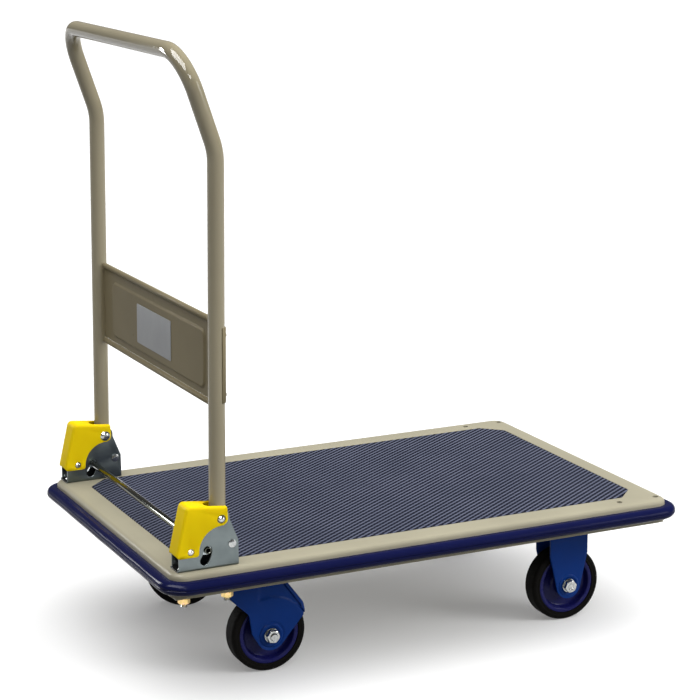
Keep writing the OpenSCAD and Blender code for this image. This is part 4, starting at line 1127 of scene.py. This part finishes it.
# %% [markdown]
# ## The yellow covers
# A cover hides the hinge so that fingers stay out of it. Its top has a mouth that is open
# towards the deck, because the tube swings out that way. The lower edge is cut in a big
# arc, and both pin heads sit in holes of their own.

# %% Cover outline and skins
COVER_OUT, COVER_T, COVER_BEND = 18.2, 2.5, 4.6
TOP, FALL = DECK_TOP + 102, 10.0
foot, back_top, front_top = (-430, DECK_TOP + 22), (-411, TOP), (-346.8, TOP - FALL)
cover_parts = [arc(5, -90, 0.7, (-398, DECK_TOP + 27), 6),
               arc(38, 179, 92, (-355, DECK_TOP + 27.5), 24),
               arc(10.2, -88, 0, (-356, DECK_TOP + 75.7), 10),
               fillet((-345.8, DECK_TOP + 80), front_top, back_top, 4.0),
               fillet(front_top, back_top, foot, 8, 8),
               fillet(back_top, foot, (-398, DECK_TOP + 22), 5)]
cover_loop = np.concatenate(cover_parts)
counts = np.cumsum([0] + [len(p) for p in cover_parts])
cover_radius = np.zeros(len(cover_loop))
cover_radius[counts[3]:counts[4]] = COVER_BEND * smooth(np.linspace(0.08, 1, 7))
cover_radius[counts[4]:counts[5]] = COVER_BEND
cover_radius[counts[5]:] = COVER_BEND * smooth(np.linspace(1, 0, 7))
pin_holes = [circle(7.0, pivot, 32)[::-1], circle(5.4, latch, 28)[::-1]]
skin = shell(cover_loop, cover_radius, COVER_OUT, slice(counts[4], counts[5] + 3), pin_holes)
x_back, x_front = cover_loop[counts[4], 0], cover_loop[counts[4] - 1, 0]
flat_y = COVER_OUT - COVER_BEND
MOUTH_X = pivot[0] - 9
MOUTH_R = flat_y - 0.3
mouth = np.concatenate([[(x_front, -flat_y + 0.3)], arc(MOUTH_R, -90, -270, (MOUTH_X, 0), 20),
                        [(x_front, MOUTH_R)]])
back_edge = np.stack([np.full(5, x_back), np.linspace(flat_y, -flat_y, 5)], 1)
top_edge = np.concatenate([[(x_front, flat_y)], back_edge, [(x_front, -flat_y)]])
top_points, top_faces = fill([np.concatenate([top_edge, mouth])])
z_back, z_front = cover_loop[counts[4], 1], cover_loop[counts[4] - 1, 1]
top_z = z_back + (top_points[:, 0] - x_back) / (x_front - x_back) * (z_front - z_back)
skin.append((np.column_stack([top_points, top_z]), top_faces))


def upturned(points):
    """The front corners of the cover's top curl up a little beside the tube."""
    curl = 3.2 * smooth((points[:, 0] + 355) / 8) * smooth((points[:, 2] - TOP + FALL + 10) / 10)
    return points + np.column_stack([0 * curl, 0 * curl, curl])


skin = [(upturned(p), f) for p, f in skin]
for side, label in ((1, "left"), (-1, "right")):
    shell_piece(f"cover_{label}", moved(skin, (0, side * HINGE_Y, 0)),
                (-390, side * HINGE_Y, DECK_TOP + 60), "root", cover_plastic,
                f"hinge_cover_{label}", COVER_T)

# %% [markdown]
# ## Pins, bolts and nuts
# Fasteners are lathe work: a domed head is a cap of a ball, a thread is a fine zigzag, and a
# hexagon is a circle whose radius is limited by six flats. The turned-off corners of a nut
# come from the smaller of the hexagon's radius and a cone.

# %% Fastener shapes
HEX_STEPS = 72


def hexagon(af, h, bore, place, out, tilt, chamfer=0.9, crown=True):
    """A hexagon of height h along out. Radius = min(af/2 / cos(angle to the flat), af/2 +
    distance from the face / tan 30), so its corners are turned off in a cone."""
    a = np.arange(HEX_STEPS) * 2 * np.pi / HEX_STEPS
    flat = af / 2 / np.cos((a + np.pi / 6) % (np.pi / 3) - np.pi / 6)
    rise = np.array([0, 0.25, 0.5, 0.75, 1.0]) * chamfer
    heights = np.concatenate([rise if crown else [0], h - rise[::-1]])
    cone = np.concatenate([rise if crown else [9], rise[::-1]]) * 1.9 + af / 2 - 0.1
    ring = lambda r, z: np.stack([r * np.cos(a), r * np.sin(a), np.full(HEX_STEPS, z)], 1)
    rings = [ring(np.minimum(flat, c), z) for c, z in zip(cone, heights)]
    rows = ([ring(bore, 0.4), ring(bore + 0.5, 0)] + rings
            + [ring(bore + 0.5, h), ring(bore, h - 0.4)])
    side, up, out = axes_along(out)
    c, s = math.cos(tilt), math.sin(tilt)
    return turned(surface(np.stack(rows), wrap_rows=True, wrap_cols=True), side * c + up * s,
                  up * c - side * s, out, place)


def threaded(r, low, high, start):
    """Profile of a bolt from high down to a chamfered tip at low, threaded from start on."""
    pitch, depth = 1.25, 0.45
    z = np.arange(start, low + 0.8, -pitch / 2)
    zigzag = np.stack([r - depth * (np.arange(len(z)) % 2), z], 1)
    return np.concatenate([[(0, high), (r, high)], zigzag, [(r - 1.0, low), (0, low)]])


def ring_profile(bore, r, h):
    """A flat ring from height 0 to h with eased rims, as a closed section."""
    e = 0.35
    return [(bore, 0), (r - e, 0), (r, e), (r, h - e), (r - e, h), (bore, h), (bore, 0)]


BOLT_TIP, NUT_Z, WASHER_Z, THREAD_TOP = 154.5, 161.5, 169.5, 176.0
SHANK_Y, HEAD_Y, CAP_Y = (-18.1, 18.6), 18.2, 15.6
bolt_parts, washer_parts, nut_parts = [], [], []
for i, x in enumerate(BOLT_X):
    seat = DECK_TOP + PLATE_T
    bolt_parts += stepped(dome_profile(8.5, 3.7, 0.3), (x, BOLT_Y, seat), Z)
    bolt_parts += stepped(threaded(5.0, BOLT_TIP, seat, THREAD_TOP), (x, BOLT_Y, 0), Z, 36)
    washer_parts += stepped(ring_profile(5.1, WASHER_R, 1.5), (x, BOLT_Y, WASHER_Z), Z)
    nut_parts += hexagon(17, 8, 5.0, (x, BOLT_Y, NUT_Z), Z, 0.35 + i, chamfer=0.5)
make("bracket_bolt_set", both(bolt_parts), "root", bright_steel,
     ["bracket_bolts"], sharp=50)
make("bracket_washer_set", both(washer_parts), "root", yellow_zinc, ["bracket_washers"])
make("bracket_nut_set", both(nut_parts), "root", yellow_zinc, ["bracket_nuts"], sharp=25)


def shank(r, low, high):
    """Profile of a plain rod from low to high."""
    return [(0, low), (r, low), (r, high), (0, high)]


def beside(place, y=0.0):
    """A point of the side view (x, z) at a distance from the hinge's middle."""
    return place[0], HINGE_Y + y, place[1]


stop_head = dome_profile(6.2, 2.5 - 1.4, 1.4, 6.2 * 0.35)
stop_pin = (stepped(shank(5.0, -HALF_OUT, HALF_OUT), beside(stop), Y, 40)
            + stepped(stop_head, beside(stop, HALF_OUT), Y)
            + stepped(stop_head, beside(stop, -HALF_OUT), -Y))
make("stop_pin_set", both(stop_pin), "root", bright_steel, ["stop_pins"])
pin_head = stepped(dome_profile(8.5, 4.2, 0.3, 3), beside(pivot, -HEAD_Y), -Y)
pin_cap = stepped(dome_profile(6.0, 4.0, 2.6, 2.2), beside(pivot, CAP_Y), Y)
pivot_pin = stepped(shank(5.0, *SHANK_Y), beside(pivot), Y, 40) + pin_head
make("pivot_pin_set", both(pivot_pin), "root", bright_steel, ["pivot_pins"])
make("pivot_cap_set", both(pin_cap), "root", bright_steel, ["pivot_caps"])
bolt_head = stepped(dome_profile(4.8, 2.5, 0.3, 1.5), beside(latch, -HEAD_Y), -Y, 36)
bolt_cap = stepped(dome_profile(4.8, 2.6, 2.6, 1.5), beside(latch, CAP_Y), Y, 36)
latch_bolt = stepped(shank(3.0, *SHANK_Y), beside(latch), Y, 32) + bolt_head
make("latch_bolt_set", both(latch_bolt), "root", bright_steel, ["latch_bolts"])
make("latch_cap_set", both(bolt_cap), "root", dull_steel, ["latch_caps"])

# %% [markdown]
# ## The foot latch
# Two levers swing on the latch bolts and carry the chromed foot bar. A lever is the outline
# round two circles, cut from sheet. The spring is a helix: a point that turns about the
# bolt while it moves along it. From its end the wire goes back across the coil to a straight
# leg on the other side, which reaches down to the bracket's floor.

# %% Levers, bar and springs
def belt(c1, r1, c2, r2):
    """The closed outline round two circles: both arcs meet the common tangents."""
    c1, c2 = np.array(c1), np.array(c2)
    d = np.hypot(*(c2 - c1))
    phi = math.degrees(math.atan2(*(c2 - c1)[::-1]))
    beta = math.degrees(math.acos((r1 - r2) / d))
    return np.concatenate([arc(r2, phi - beta, phi + beta, c2, 20),
                           arc(r1, phi + beta, phi + 360 - beta, c1, 20)])


LEVER_T, LEVER_IN = 3.0, 9.4
lever_face = plate([belt(latch, 6.5, bar, 7.2), circle(5.52, bar, 40)[::-1],
                    circle(3.1, latch, 28)[::-1]], LEVER_T, 0.4)
sleeve = stepped([(3.1, 0), (4.45, 0), (4.45, 2 * LEVER_IN), (3.1, 2 * LEVER_IN), (3.1, 0)],
                 beside(latch, -LEVER_IN), Y, 32)
lever = twice_across(lever_face, HINGE_Y, LEVER_IN + LEVER_T / 2) + sleeve
make("latch_lever_l", lever, "foot_latch", zinc, ["latch_lever_left"])
make("latch_lever_r", mirrored(lever), "foot_latch", zinc, ["latch_lever_right"])
BAR_HALF, BAR_R = (span("foot_bar")[1] - span("foot_bar")[0])[1] / 2, 5.5
bar_end = [(3.4, BAR_HALF - 0.6), (3.9, BAR_HALF), (4.7, BAR_HALF), (5.3, BAR_HALF - 0.3),
           (BAR_R, BAR_HALF - 0.9)]
bar_side = [(0, BAR_HALF - 12), (3.4, BAR_HALF - 12)] + bar_end
bar_profile = bar_side + [(r, -h) for r, h in reversed(bar_side)]
make("chromed_foot_bar", stepped(bar_profile, (bar[0], 0, bar[1]), Y, 56), "foot_latch",
     bar_chrome, ["foot_bar"])


def spring(coil_r, wire, turns, pitch):
    """Helix (r cos a, pitch a / 2 pi, r sin a), taken from its last point to its first, and a
    leg straight down from where it began."""
    a = np.linspace(np.pi / 2, np.pi / 2 + 2 * np.pi * (turns - 0.25), 24 * turns)
    helix = np.stack([coil_r * np.cos(a), pitch * (a - a.mean()) / (2 * np.pi),
                      coil_r * np.sin(a)], 1)[::-1]
    leg = np.linspace(0, 1, 8)[1:, None] * (0, 0, -(latch[1] - DECK_TOP - PLATE_T - wire))
    path = np.concatenate([helix, helix[0] + leg])
    side = np.repeat(Y[None], len(path), 0)
    return capped(tube(path, side, np.full(len(path), wire), 12))


coil = moved(spring(5.5, 0.8, 5, 1.7), beside(latch))
make("latch_spring_set", both(coil), "root", spring_steel, ["latch_springs"])

# %% [markdown]
# ## Wheels
# A wheel is a moulded centre with a rubber tyre round it. Both are profiles turned about
# the axle. The web lies deep between hub and rim, the rim's inner edge is a soft shoulder,
# and the tyre has a bead line on its wall and a slightly crowned tread.

# %% Wheel profiles
REAR_HUB = middle("rear_rim_right") * (1, -1, 1)
FRONT_HUB = middle("front_rim_left")
left_hub = middle("rear_rim_left")
SWIVEL_X = middle("king_pins")[0]
LEFT_TURN = math.atan2(left_hub[1] - REAR_HUB[1], left_hub[0] - SWIVEL_X)


def swung(parts, side):
    """Parts of the left caster turned about its swivel axis; the right one trails straight."""
    a = LEFT_TURN if side > 0 else 0.0
    axis = np.array([SWIVEL_X, REAR_HUB[1] * side, 0])
    basis = np.array([[math.cos(a), math.sin(a), 0], [-math.sin(a), math.cos(a), 0], [0, 0, 1]])
    return [((p - axis) @ basis + axis, f) for p, f in as_list(parts)]


def two_sided(rows):
    """A half profile (radius, height above the middle) and its mirror image, closed."""
    return rows + [(r, -h) for r, h in reversed(rows)] + rows[:1]


rim_rows = [(8.1, 19.5), (8.6, 20), (16.8, 20), (17.6, 19.6), (18, 18.6), (18.2, 9), (18.8, 6),
            (20.5, 4.0), (24, 3.2), (36, 3.0), (39.5, 3.4), (41.4, 5.0), (42.2, 7.6), (42.8, 12.6),
            (43.4, 14.2), (44.4, 14.9), (48.8, 15.0), (49.6, 14.7), (49.95, 14.0)]
shoulder = [(56.5 + 6 * math.sin(a), 10 + 6 * math.cos(a))
            for a in np.radians(np.linspace(0, 84, 9))]
tyre_rows = [(50.0, 15.2), (50.6, 15.8), (51.4, 16), (53.2, 16), (53.7, 15.7), (54.3, 15.7),
             (54.8, 16), *shoulder, (62.42, 8), (62.5, 4), (62.5, 0.4)]
bush_rows = [(6.15, 19.6), (6.5, 20), (7.6, 20), (8.0, 19.6), (8.0, 4.3), (7.6, 4), (6.15, 4),
             (6.15, 19.6)]
for where, hub, rides in (("rear", REAR_HUB, "wheel_rear"), ("front", FRONT_HUB, "wheel_front")):
    for side, label in ((1, "left"), (-1, "right")):
        place, body = hub * (1, side, 1), f"{rides}_{label}"
        turn = side if where == "rear" else 0
        rim = stepped(two_sided(rim_rows), place, Y, 96)
        make(f"{where}_wheel_centre_{label}", swung(rim, turn), body, rim_plastic,
             [f"{where}_rim_{label}"], sharp=45)
        tyre = stepped(two_sided(tyre_rows), place, Y, 128)
        make(f"{where}_wheel_tyre_{label}", swung(tyre, turn), body, tyre_rubber,
             [f"{where}_tyre_{label}"], sharp=50)
        bushes = stepped(bush_rows, place, Y, 40) + stepped(bush_rows, place, -Y, 40)
        make(f"{where}_hub_bushes_{label}", swung(bushes, turn), body, bush_plastic,
             [f"{where}_bushes_{label}"])

# %% [markdown]
# ## Axle bolts
# Each axle is a hexagon bolt with a washer under its head and under its nut. The rear bolts
# show their nut and threaded tip outside, the front ones show their head.

# %% Axle bolts and nuts
LEG_OUT = 24.0
AXLE_R, AXLE_AF = 6.0, 19.0
AXLE_L, AXLE_TIP = 64.0, 13.5
WASHER_T = 1.5
axle_washer = ring_profile(6.1, 11.8, WASHER_T)


def axle_bolt(hub, out, tilt):
    """Bolt whose head lies on the side that out points to, and whose tip leaves the other leg."""
    head = hub + Y * out * (LEG_OUT + WASHER_T)
    head_top = [(0, 6.9), (4.3, 6.9), (4.6, 7.2), (5.0, 7.4), (5.2, 7.0), (5.2, 0.3), (0, 0.3)]
    rod = lathe(threaded(AXLE_R - 0.02, 0, AXLE_L, 13.0), 36)
    return (hexagon(AXLE_AF, 7.5, 5.0, head, Y * out, tilt, crown=False)
            + turned(rod, X, Z * -out, Y * out, hub + Y * out * -(LEG_OUT + AXLE_TIP))
            + stepped(axle_washer, hub + Y * out * LEG_OUT, Y * out, 40)
            + stepped(head_top, head, Y * out, 40))


def axle_lock(hub, out, tilt):
    """Washer and nut on the side that out points to."""
    return (hexagon(AXLE_AF, 9.0, AXLE_R, hub + Y * out * (LEG_OUT + WASHER_T), Y * out, tilt)
            + stepped(axle_washer, hub + Y * out * LEG_OUT, Y * out, 40))


front_bolts, front_nuts = [], []
for side, label in ((1, "left"), (-1, "right")):
    rear, front = REAR_HUB * (1, side, 1), FRONT_HUB * (1, side, 1)
    make(f"rear_axle_bolt_{label}", swung(axle_bolt(rear, -side, 0.4), side), f"swivel_{label}",
         bright_steel, [f"rear_axle_{label}"], sharp=30)
    make(f"rear_axle_locknut_{label}", swung(axle_lock(rear, side, 0.9), side), f"swivel_{label}",
         bright_steel, [f"rear_axle_nut_{label}"], sharp=25)
    front_bolts += axle_bolt(front, side, 0.2)
    front_nuts += axle_lock(front, -side, 0.7)
make("front_axle_bolts", front_bolts, "root", bright_steel, ["front_axles"], sharp=30)
make("front_axle_locknuts", front_nuts, "root", bright_steel, ["front_axle_nuts"],
     sharp=25)

# %% [markdown]
# ## The caster forks
# A swivel fork is pressed from one sheet: two legs, and a hood over the wheel that rises to
# the swivel head. A step is pressed into each leg on an arc round the axle, and a raised
# ring stands round the bolt. Both are height functions of the distance to the hub, laid on
# a face that has extra points for them.

# %% Swivel forks
FORK_Y = REAR_HUB[1]
CROWN_Z, HEAD_R, FORK_T = 153.0, 36.0, 3.0
HOOD_BEND, HOOD_Z, HOOD_X = 6.0, 100, -262
THROAT = (SWIVEL_X, CROWN_Z - 52)
rear_hub, front_hub = REAR_HUB[[0, 2]], FRONT_HUB[[0, 2]]


def hull(points):
    """Convex outline round a set of points, anticlockwise."""
    points = np.asarray(points, float)
    loop = points[geometry.convex_hull_2d([Vector(p) for p in points.tolist()])]
    return loop if signed_area(loop) > 0 else loop[::-1]


def hub_rings(hub, radii):
    """Extra points on circles round a hub."""
    return np.concatenate([circle(r, hub, 60) for r in radii])


def lattice(loop, step):
    """A plain grid of points over an outline's box."""
    low, high = loop.min(0), loop.max(0)
    g = np.meshgrid(np.arange(low[0], high[0], step), np.arange(low[1], high[1], step))
    return np.stack(g, -1).reshape(-1, 2)


def band(d, a, b, soft):
    """One between two distances, with soft shoulders."""
    return smooth((d - a) / soft + 0.5) * smooth((b - d) / soft + 0.5)


leg = hull(np.concatenate([circle(25, rear_hub, 64), circle(15, rear_hub + (-18, 11.5), 48),
                           circle(20, rear_hub + (39, 36.5), 64),
                           [(SWIVEL_X, CROWN_Z), THROAT, (rear_hub[0] + 24, CROWN_Z)]]))
leg = np.roll(leg, -np.linalg.norm(leg - THROAT, axis=1).argmin(), 0)
neck = np.concatenate([[(SWIVEL_X - HEAD_R + 1, CROWN_Z)],
                       fillet((-319, CROWN_Z), (-319, 137), (-306, 122), 5, 4),
                       fillet((-319, 137), (-306, 122), THROAT, 9, 4)])
last = np.linalg.norm(leg - (SWIVEL_X, CROWN_Z), axis=1).argmin()
leg_loop = resampled(np.concatenate([leg[:last], [(SWIVEL_X - 10, CROWN_Z)], neck]), 4.0)
leg_x, leg_z = leg_loop.T
hooded = (((leg_z > HOOD_Z) & (leg_x > HOOD_X))
          | ((leg_z > CROWN_Z - 0.5) & (leg_x > SWIVEL_X - 8)))
hood = np.flatnonzero(hooded)
leg_radius = np.where(hooded, HOOD_BEND, 0.0)
ramp = smooth(np.arange(1, 5) / 5) * HOOD_BEND
leg_radius[hood[0] - 4:hood[0]], leg_radius[hood[-1] + 1:hood[-1] + 5] = ramp, ramp[::-1]


def bolt_rings(d):
    """Inward push of the raised ring round an axle bolt, and of the dish inside it."""
    return -1.15 * band(d, 14.5, 18.5, 1.0), 0.6 * band(d, 6, 13.2, 1.0)


def leg_relief(p):
    """Inward push of a leg: a step outside an arc round the hub, and rings round the bolt."""
    d = np.hypot(*(p - rear_hub).T)
    step_in = 2.4 * smooth((d - 60.5) / 3.2) * smooth((p[:, 0] + 270 - 0.12 * (p[:, 1] - 120)) / 5)
    ring, dish = bolt_rings(d)
    return step_in * smooth((156 - p[:, 1]) / 8) + ring + 0.9 * band(d, 19.6, 22.0, 1.2) + dish


extra = np.concatenate([hub_rings(rear_hub, np.arange(7.5, 24, 0.9)),
                        hub_rings(rear_hub, np.arange(58, 67, 1.1)), lattice(leg_loop, 3.1)])
fork_skin = shell(leg_loop, leg_radius, LEG_OUT, slice(hood[0], hood[-1] + 1),
                  [circle(6.3, rear_hub, 40)[::-1]], extra, leg_relief, rows=7, spans=7)


# the part of the swivel head that moves with the fork: head plate and lower race
head_rows = [(6.1, -3), (34.6, -3), (36, -1.8), (36, -0.6), (35.4, 0), (31, 0), (30.6, 2.2),
             (19.4, 2.2), (19, 0), (6.1, 0), (6.1, -3)]
fork_head = stepped(head_rows, (SWIVEL_X, 0, CROWN_Z), Z, 80)
for side, label in ((1, "left"), (-1, "right")):
    at = (0, side * FORK_Y, 0)
    shell_piece(f"fork_{label}", swung(moved(fork_skin, at), side), (SWIVEL_X, side * FORK_Y, 90),
                f"swivel_{label}", fork_paint, f"swivel_fork_{label}", FORK_T)
    make(f"fork_head_{label}", moved(fork_head, at), f"swivel_{label}", fork_paint,
         [f"swivel_fork_{label}"])

# %% [markdown]
# ## Rigid forks
# The casters at the free end don't swivel. Their forks are one bent sheet with straight
# sides, open at both ends, under a bolted plate. The shell builder makes them too, with its
# wall along the top edge only.

# %% Rigid forks
RIGID_Y = FRONT_HUB[1]
PLATE_Z, PLATE_H = 167.5, 3.5
RIGID_HALF, RIGID_SHOULDER, RIGID_TOP = 35.5, 54.0, PLATE_Z - 62.5
rigid_leg = hull(np.concatenate([circle(22.5, front_hub, 64), front_hub + np.array(
    [(-RIGID_HALF, RIGID_SHOULDER), (RIGID_HALF, RIGID_SHOULDER),
     (RIGID_HALF, RIGID_TOP), (-RIGID_HALF, RIGID_TOP)])]))
start = np.linalg.norm(rigid_leg - (front_hub + (-RIGID_HALF, RIGID_SHOULDER)), axis=1).argmin()
rigid_leg = resampled(np.roll(rigid_leg, -start, 0), 4.0)
top_edge = rigid_leg[:, 1] > PLATE_Z - 0.1
rigid_radius = np.where(top_edge, 4.5, 0.0)


def ring_relief(p):
    """Rings round the bolt of a rigid fork."""
    return sum(bolt_rings(np.hypot(*(p - front_hub).T)))


rigid_extra = np.concatenate([hub_rings(front_hub, np.arange(7.5, 21, 0.9)),
                              lattice(rigid_leg, 6.3)])
columns = np.flatnonzero(top_edge)
rigid_skin = shell(rigid_leg, rigid_radius, LEG_OUT, slice(columns[0], columns[-1] + 1),
                   [circle(6.3, front_hub, 40)[::-1]], rigid_extra, ring_relief, rows=5, spans=7)


def caster_plate(x, y):
    """The bolted top plate with its four holes."""
    holes = [circle(4.3, (px, py), 28)[::-1] for px in (-40, 40) for py in (-32, 32)]
    outline = rounded([(52.5, -43), (52.5, 43), (-52.5, 43), (-52.5, -43)], 10, 8)
    return moved(plate([outline] + holes, PLATE_H - 0.02, 0.5), (x, y, PLATE_Z + PLATE_H / 2))


for side, label in ((1, "left"), (-1, "right")):
    shell_piece(f"rigid_fork_{label}", moved(rigid_skin, (0, side * RIGID_Y, 0)),
                (FRONT_HUB[0], side * RIGID_Y, 90), "root", fork_paint,
                "rigid_forks", FORK_T)
rigid_plates = caster_plate(FRONT_HUB[0], RIGID_Y) + caster_plate(FRONT_HUB[0], -RIGID_Y)
make("rigid_fork_plates", rigid_plates, "root", fork_paint, ["rigid_forks"])

# %% [markdown]
# ## Swivel plates and king pins
# Over each swivel fork sits the fixed half of its bearing: a bolted plate, a race and a
# skirt that keeps dust off the balls, held together by a king pin. They are turned parts,
# given as rows of (radius, height) above the floor.

# %% Swivel plates and king pins
def swivel_top(y):
    """Fixed half of the swivel head: plate, upper race and dust skirt, as turned parts."""
    skirt = [(6.2, 167.6), (19, 167.6), (19.2, 163.8), (30.8, 163.8), (31, 167), (33.9, 167),
             (34.0, 159), (34.4, 158.6), (35.6, 158.6), (36, 159), (36, 164.5), (37.0, 166.6),
             (39, 167.6), (6.2, 167.6)]
    return caster_plate(SWIVEL_X, y) + stepped(skirt, (SWIVEL_X, y, 0), Z, 80)


make("swivel_head_plates", swivel_top(FORK_Y) + swivel_top(-FORK_Y), "root",
     fork_paint, ["swivel_plates"])
pin_rows = [(0, 145.7), (9.5, 145.7), (12, 146.9), (12, 149.2), (11.4, 149.7), (6, 149.7),
            (6, 170.9), (0, 170.9)]
make("king_pin_set", both(stepped(pin_rows, (SWIVEL_X, FORK_Y, 0), Z, 40)), "root",
     dull_steel, ["king_pins"])

# %% [markdown]
# ## Parts that keep their CAD shape
# Rails, channels, bearing balls and the casters' plate bolts are seen only from below. Their
# CAD shape is right already, so they only receive a finish through their material slots.

# %% Finish the CAD parts
cad_finishes = {"side_rails": frame_paint, "caster_channels": frame_paint,
                "bearing_balls_left": bright_steel, "bearing_balls_right": bright_steel,
                "plate_bolts": yellow_zinc, "plate_nuts": yellow_zinc}
for node, finish in cad_finishes.items():
    for slot in frame["nodes"][node].material_slots:
        slot.material = finish
    print(node, "->", finish.name)

# %% [markdown]
# ## Floor, light and camera
# The cart stands on a plain pale floor under an even ceiling light, which is hidden from
# reflections, because a wide bright ceiling would lay a veil over the deck. A softbox at the
# right models the sides, and three more lights only draw highlights round the tube's bend.
# The floor glows a little, so that it stays pale under the cart, and it throws no light up.

# %% Stage
FLOOR_HALF = 30.0
WORLD_LIGHT, WORLD_SEEN = 0.20, 1.05


def floor():
    """One flat square, centred under the cart."""
    u = np.linspace(-FLOOR_HALF, FLOOR_HALF, 3)
    grid = np.stack([*np.meshgrid(u, u, indexing="ij"), np.zeros((3, 3))], -1)
    points, faces = surface(grid)
    mesh = bpy.data.meshes.new("studio_floor")
    mesh.from_pydata(points.tolist(), [], faces[:, ::-1].tolist())
    f = Finish("pale studio floor", Roughness=0.9, Specular_IOR_Level=0.1)
    f.set(Base_Color=f.blend(f.noise(900, 2), (0.79, 0.79, 0.79), (0.81, 0.81, 0.81)),
          Emission_Color=(1, 1, 1), Emission_Strength=0.20)
    mesh.materials.append(f.material)
    obj = bpy.data.objects.new("studio_floor", mesh)
    bpy.context.scene.collection.objects.link(obj)
    obj.visible_diffuse = False


floor()


def softbox(name, place, target, width, height, power, diffuse=True):
    """A rectangular area light that faces a target. Some only draw highlights."""
    light = bpy.data.lights.new(name, "AREA")
    light.shape, light.size, light.size_y, light.energy = "RECTANGLE", width, height, power
    obj = bpy.data.objects.new(name, light)
    obj.location = place
    obj.rotation_euler = (Vector(place) - Vector(target)).to_track_quat("Z", "Y").to_euler()
    obj.visible_diffuse = diffuse
    bpy.context.scene.collection.objects.link(obj)


def sky_light(place, spread, strength):
    """A very wide sun: the even light of a bright ceiling."""
    light = bpy.data.lights.new("ceiling light", "SUN")
    light.angle, light.energy = math.radians(spread), strength
    obj = bpy.data.objects.new("ceiling light", light)
    obj.rotation_euler = Vector(place).to_track_quat("Z", "Y").to_euler()
    obj.visible_glossy = False
    bpy.context.scene.collection.objects.link(obj)


BEND = (-0.4, -0.25, 0.97)
sky_light((0.08, -0.06, 1.0), 100, 3.8)
softbox("right softbox", (3.6, -3.4, 2.0), (0, 0, 0.4), 2.2, 1.8, 110)
softbox("large highlight", (-1.64, -0.59, 2.75), BEND, 2.6, 1.8, 380, diffuse=False)
softbox("camera side highlight", (-1.02, -2.47, 1.96), BEND, 0.6, 0.5, 30, diffuse=False)
softbox("far side highlight", (-1.66, 1.95, 1.12), BEND, 0.5, 0.9, 45, diffuse=False)
world = bpy.data.worlds.new("studio")
world.use_nodes = True
sky, ray = world.node_tree.nodes["Background"], world.node_tree.nodes.new("ShaderNodeLightPath")
sky.inputs["Color"].default_value = (1, 1, 1, 1)
dim = world.node_tree.nodes.new("ShaderNodeMapRange")
dim.inputs["To Min"].default_value, dim.inputs["To Max"].default_value = WORLD_LIGHT, WORLD_SEEN
world.node_tree.links.new(ray.outputs["Is Camera Ray"], dim.inputs["Value"])
world.node_tree.links.new(dim.outputs["Result"], sky.inputs["Strength"])
bpy.context.scene.world = world
bpy.context.scene.view_settings.view_transform = "Standard"

# %% [markdown]
# ## Camera
# The camera looks along the cart from its handle end, a little from above. It stands well
# back behind a long lens, which keeps the deck's far edge nearly as wide as the near one.

# %% Camera
AIM, DISTANCE = np.array([-9.5, 0, 452.7]) * MM, 3.635
SENSOR, LENS_PER_WIDTH = 36, 2198.7 / 700
azimuth, elevation, roll = np.radians((-25.4, 13.2, -0.39))
back = np.array([math.sin(azimuth) * math.cos(elevation), -math.cos(azimuth) * math.cos(elevation),
                 math.sin(elevation)])
level = np.array([math.cos(azimuth), math.sin(azimuth), 0])
rise = np.cross(back, level)
right = math.cos(roll) * level + math.sin(roll) * rise
spot = AIM + DISTANCE * back
camera = bpy.data.cameras.new("camera")
camera.sensor_width, camera.lens, camera.clip_end = SENSOR, LENS_PER_WIDTH * SENSOR, 100
eye = bpy.data.objects.new("camera", camera)
bpy.context.scene.collection.objects.link(eye)
turn = np.stack([right, np.cross(back, right), back], 1)
eye.matrix_world = Matrix([(*row, p) for row, p in zip(turn, spot)] + [(0, 0, 0, 1)])
bpy.context.scene.camera = eye
print("camera at", spot.round(3), "lens", round(camera.lens, 1))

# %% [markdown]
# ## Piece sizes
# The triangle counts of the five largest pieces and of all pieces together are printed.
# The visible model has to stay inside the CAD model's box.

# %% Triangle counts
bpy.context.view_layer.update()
print("largest pieces:", sorted(piece_sizes.items(), key=lambda kv: -kv[1])[:5])
print("triangles in all:", sum(piece_sizes.values()))
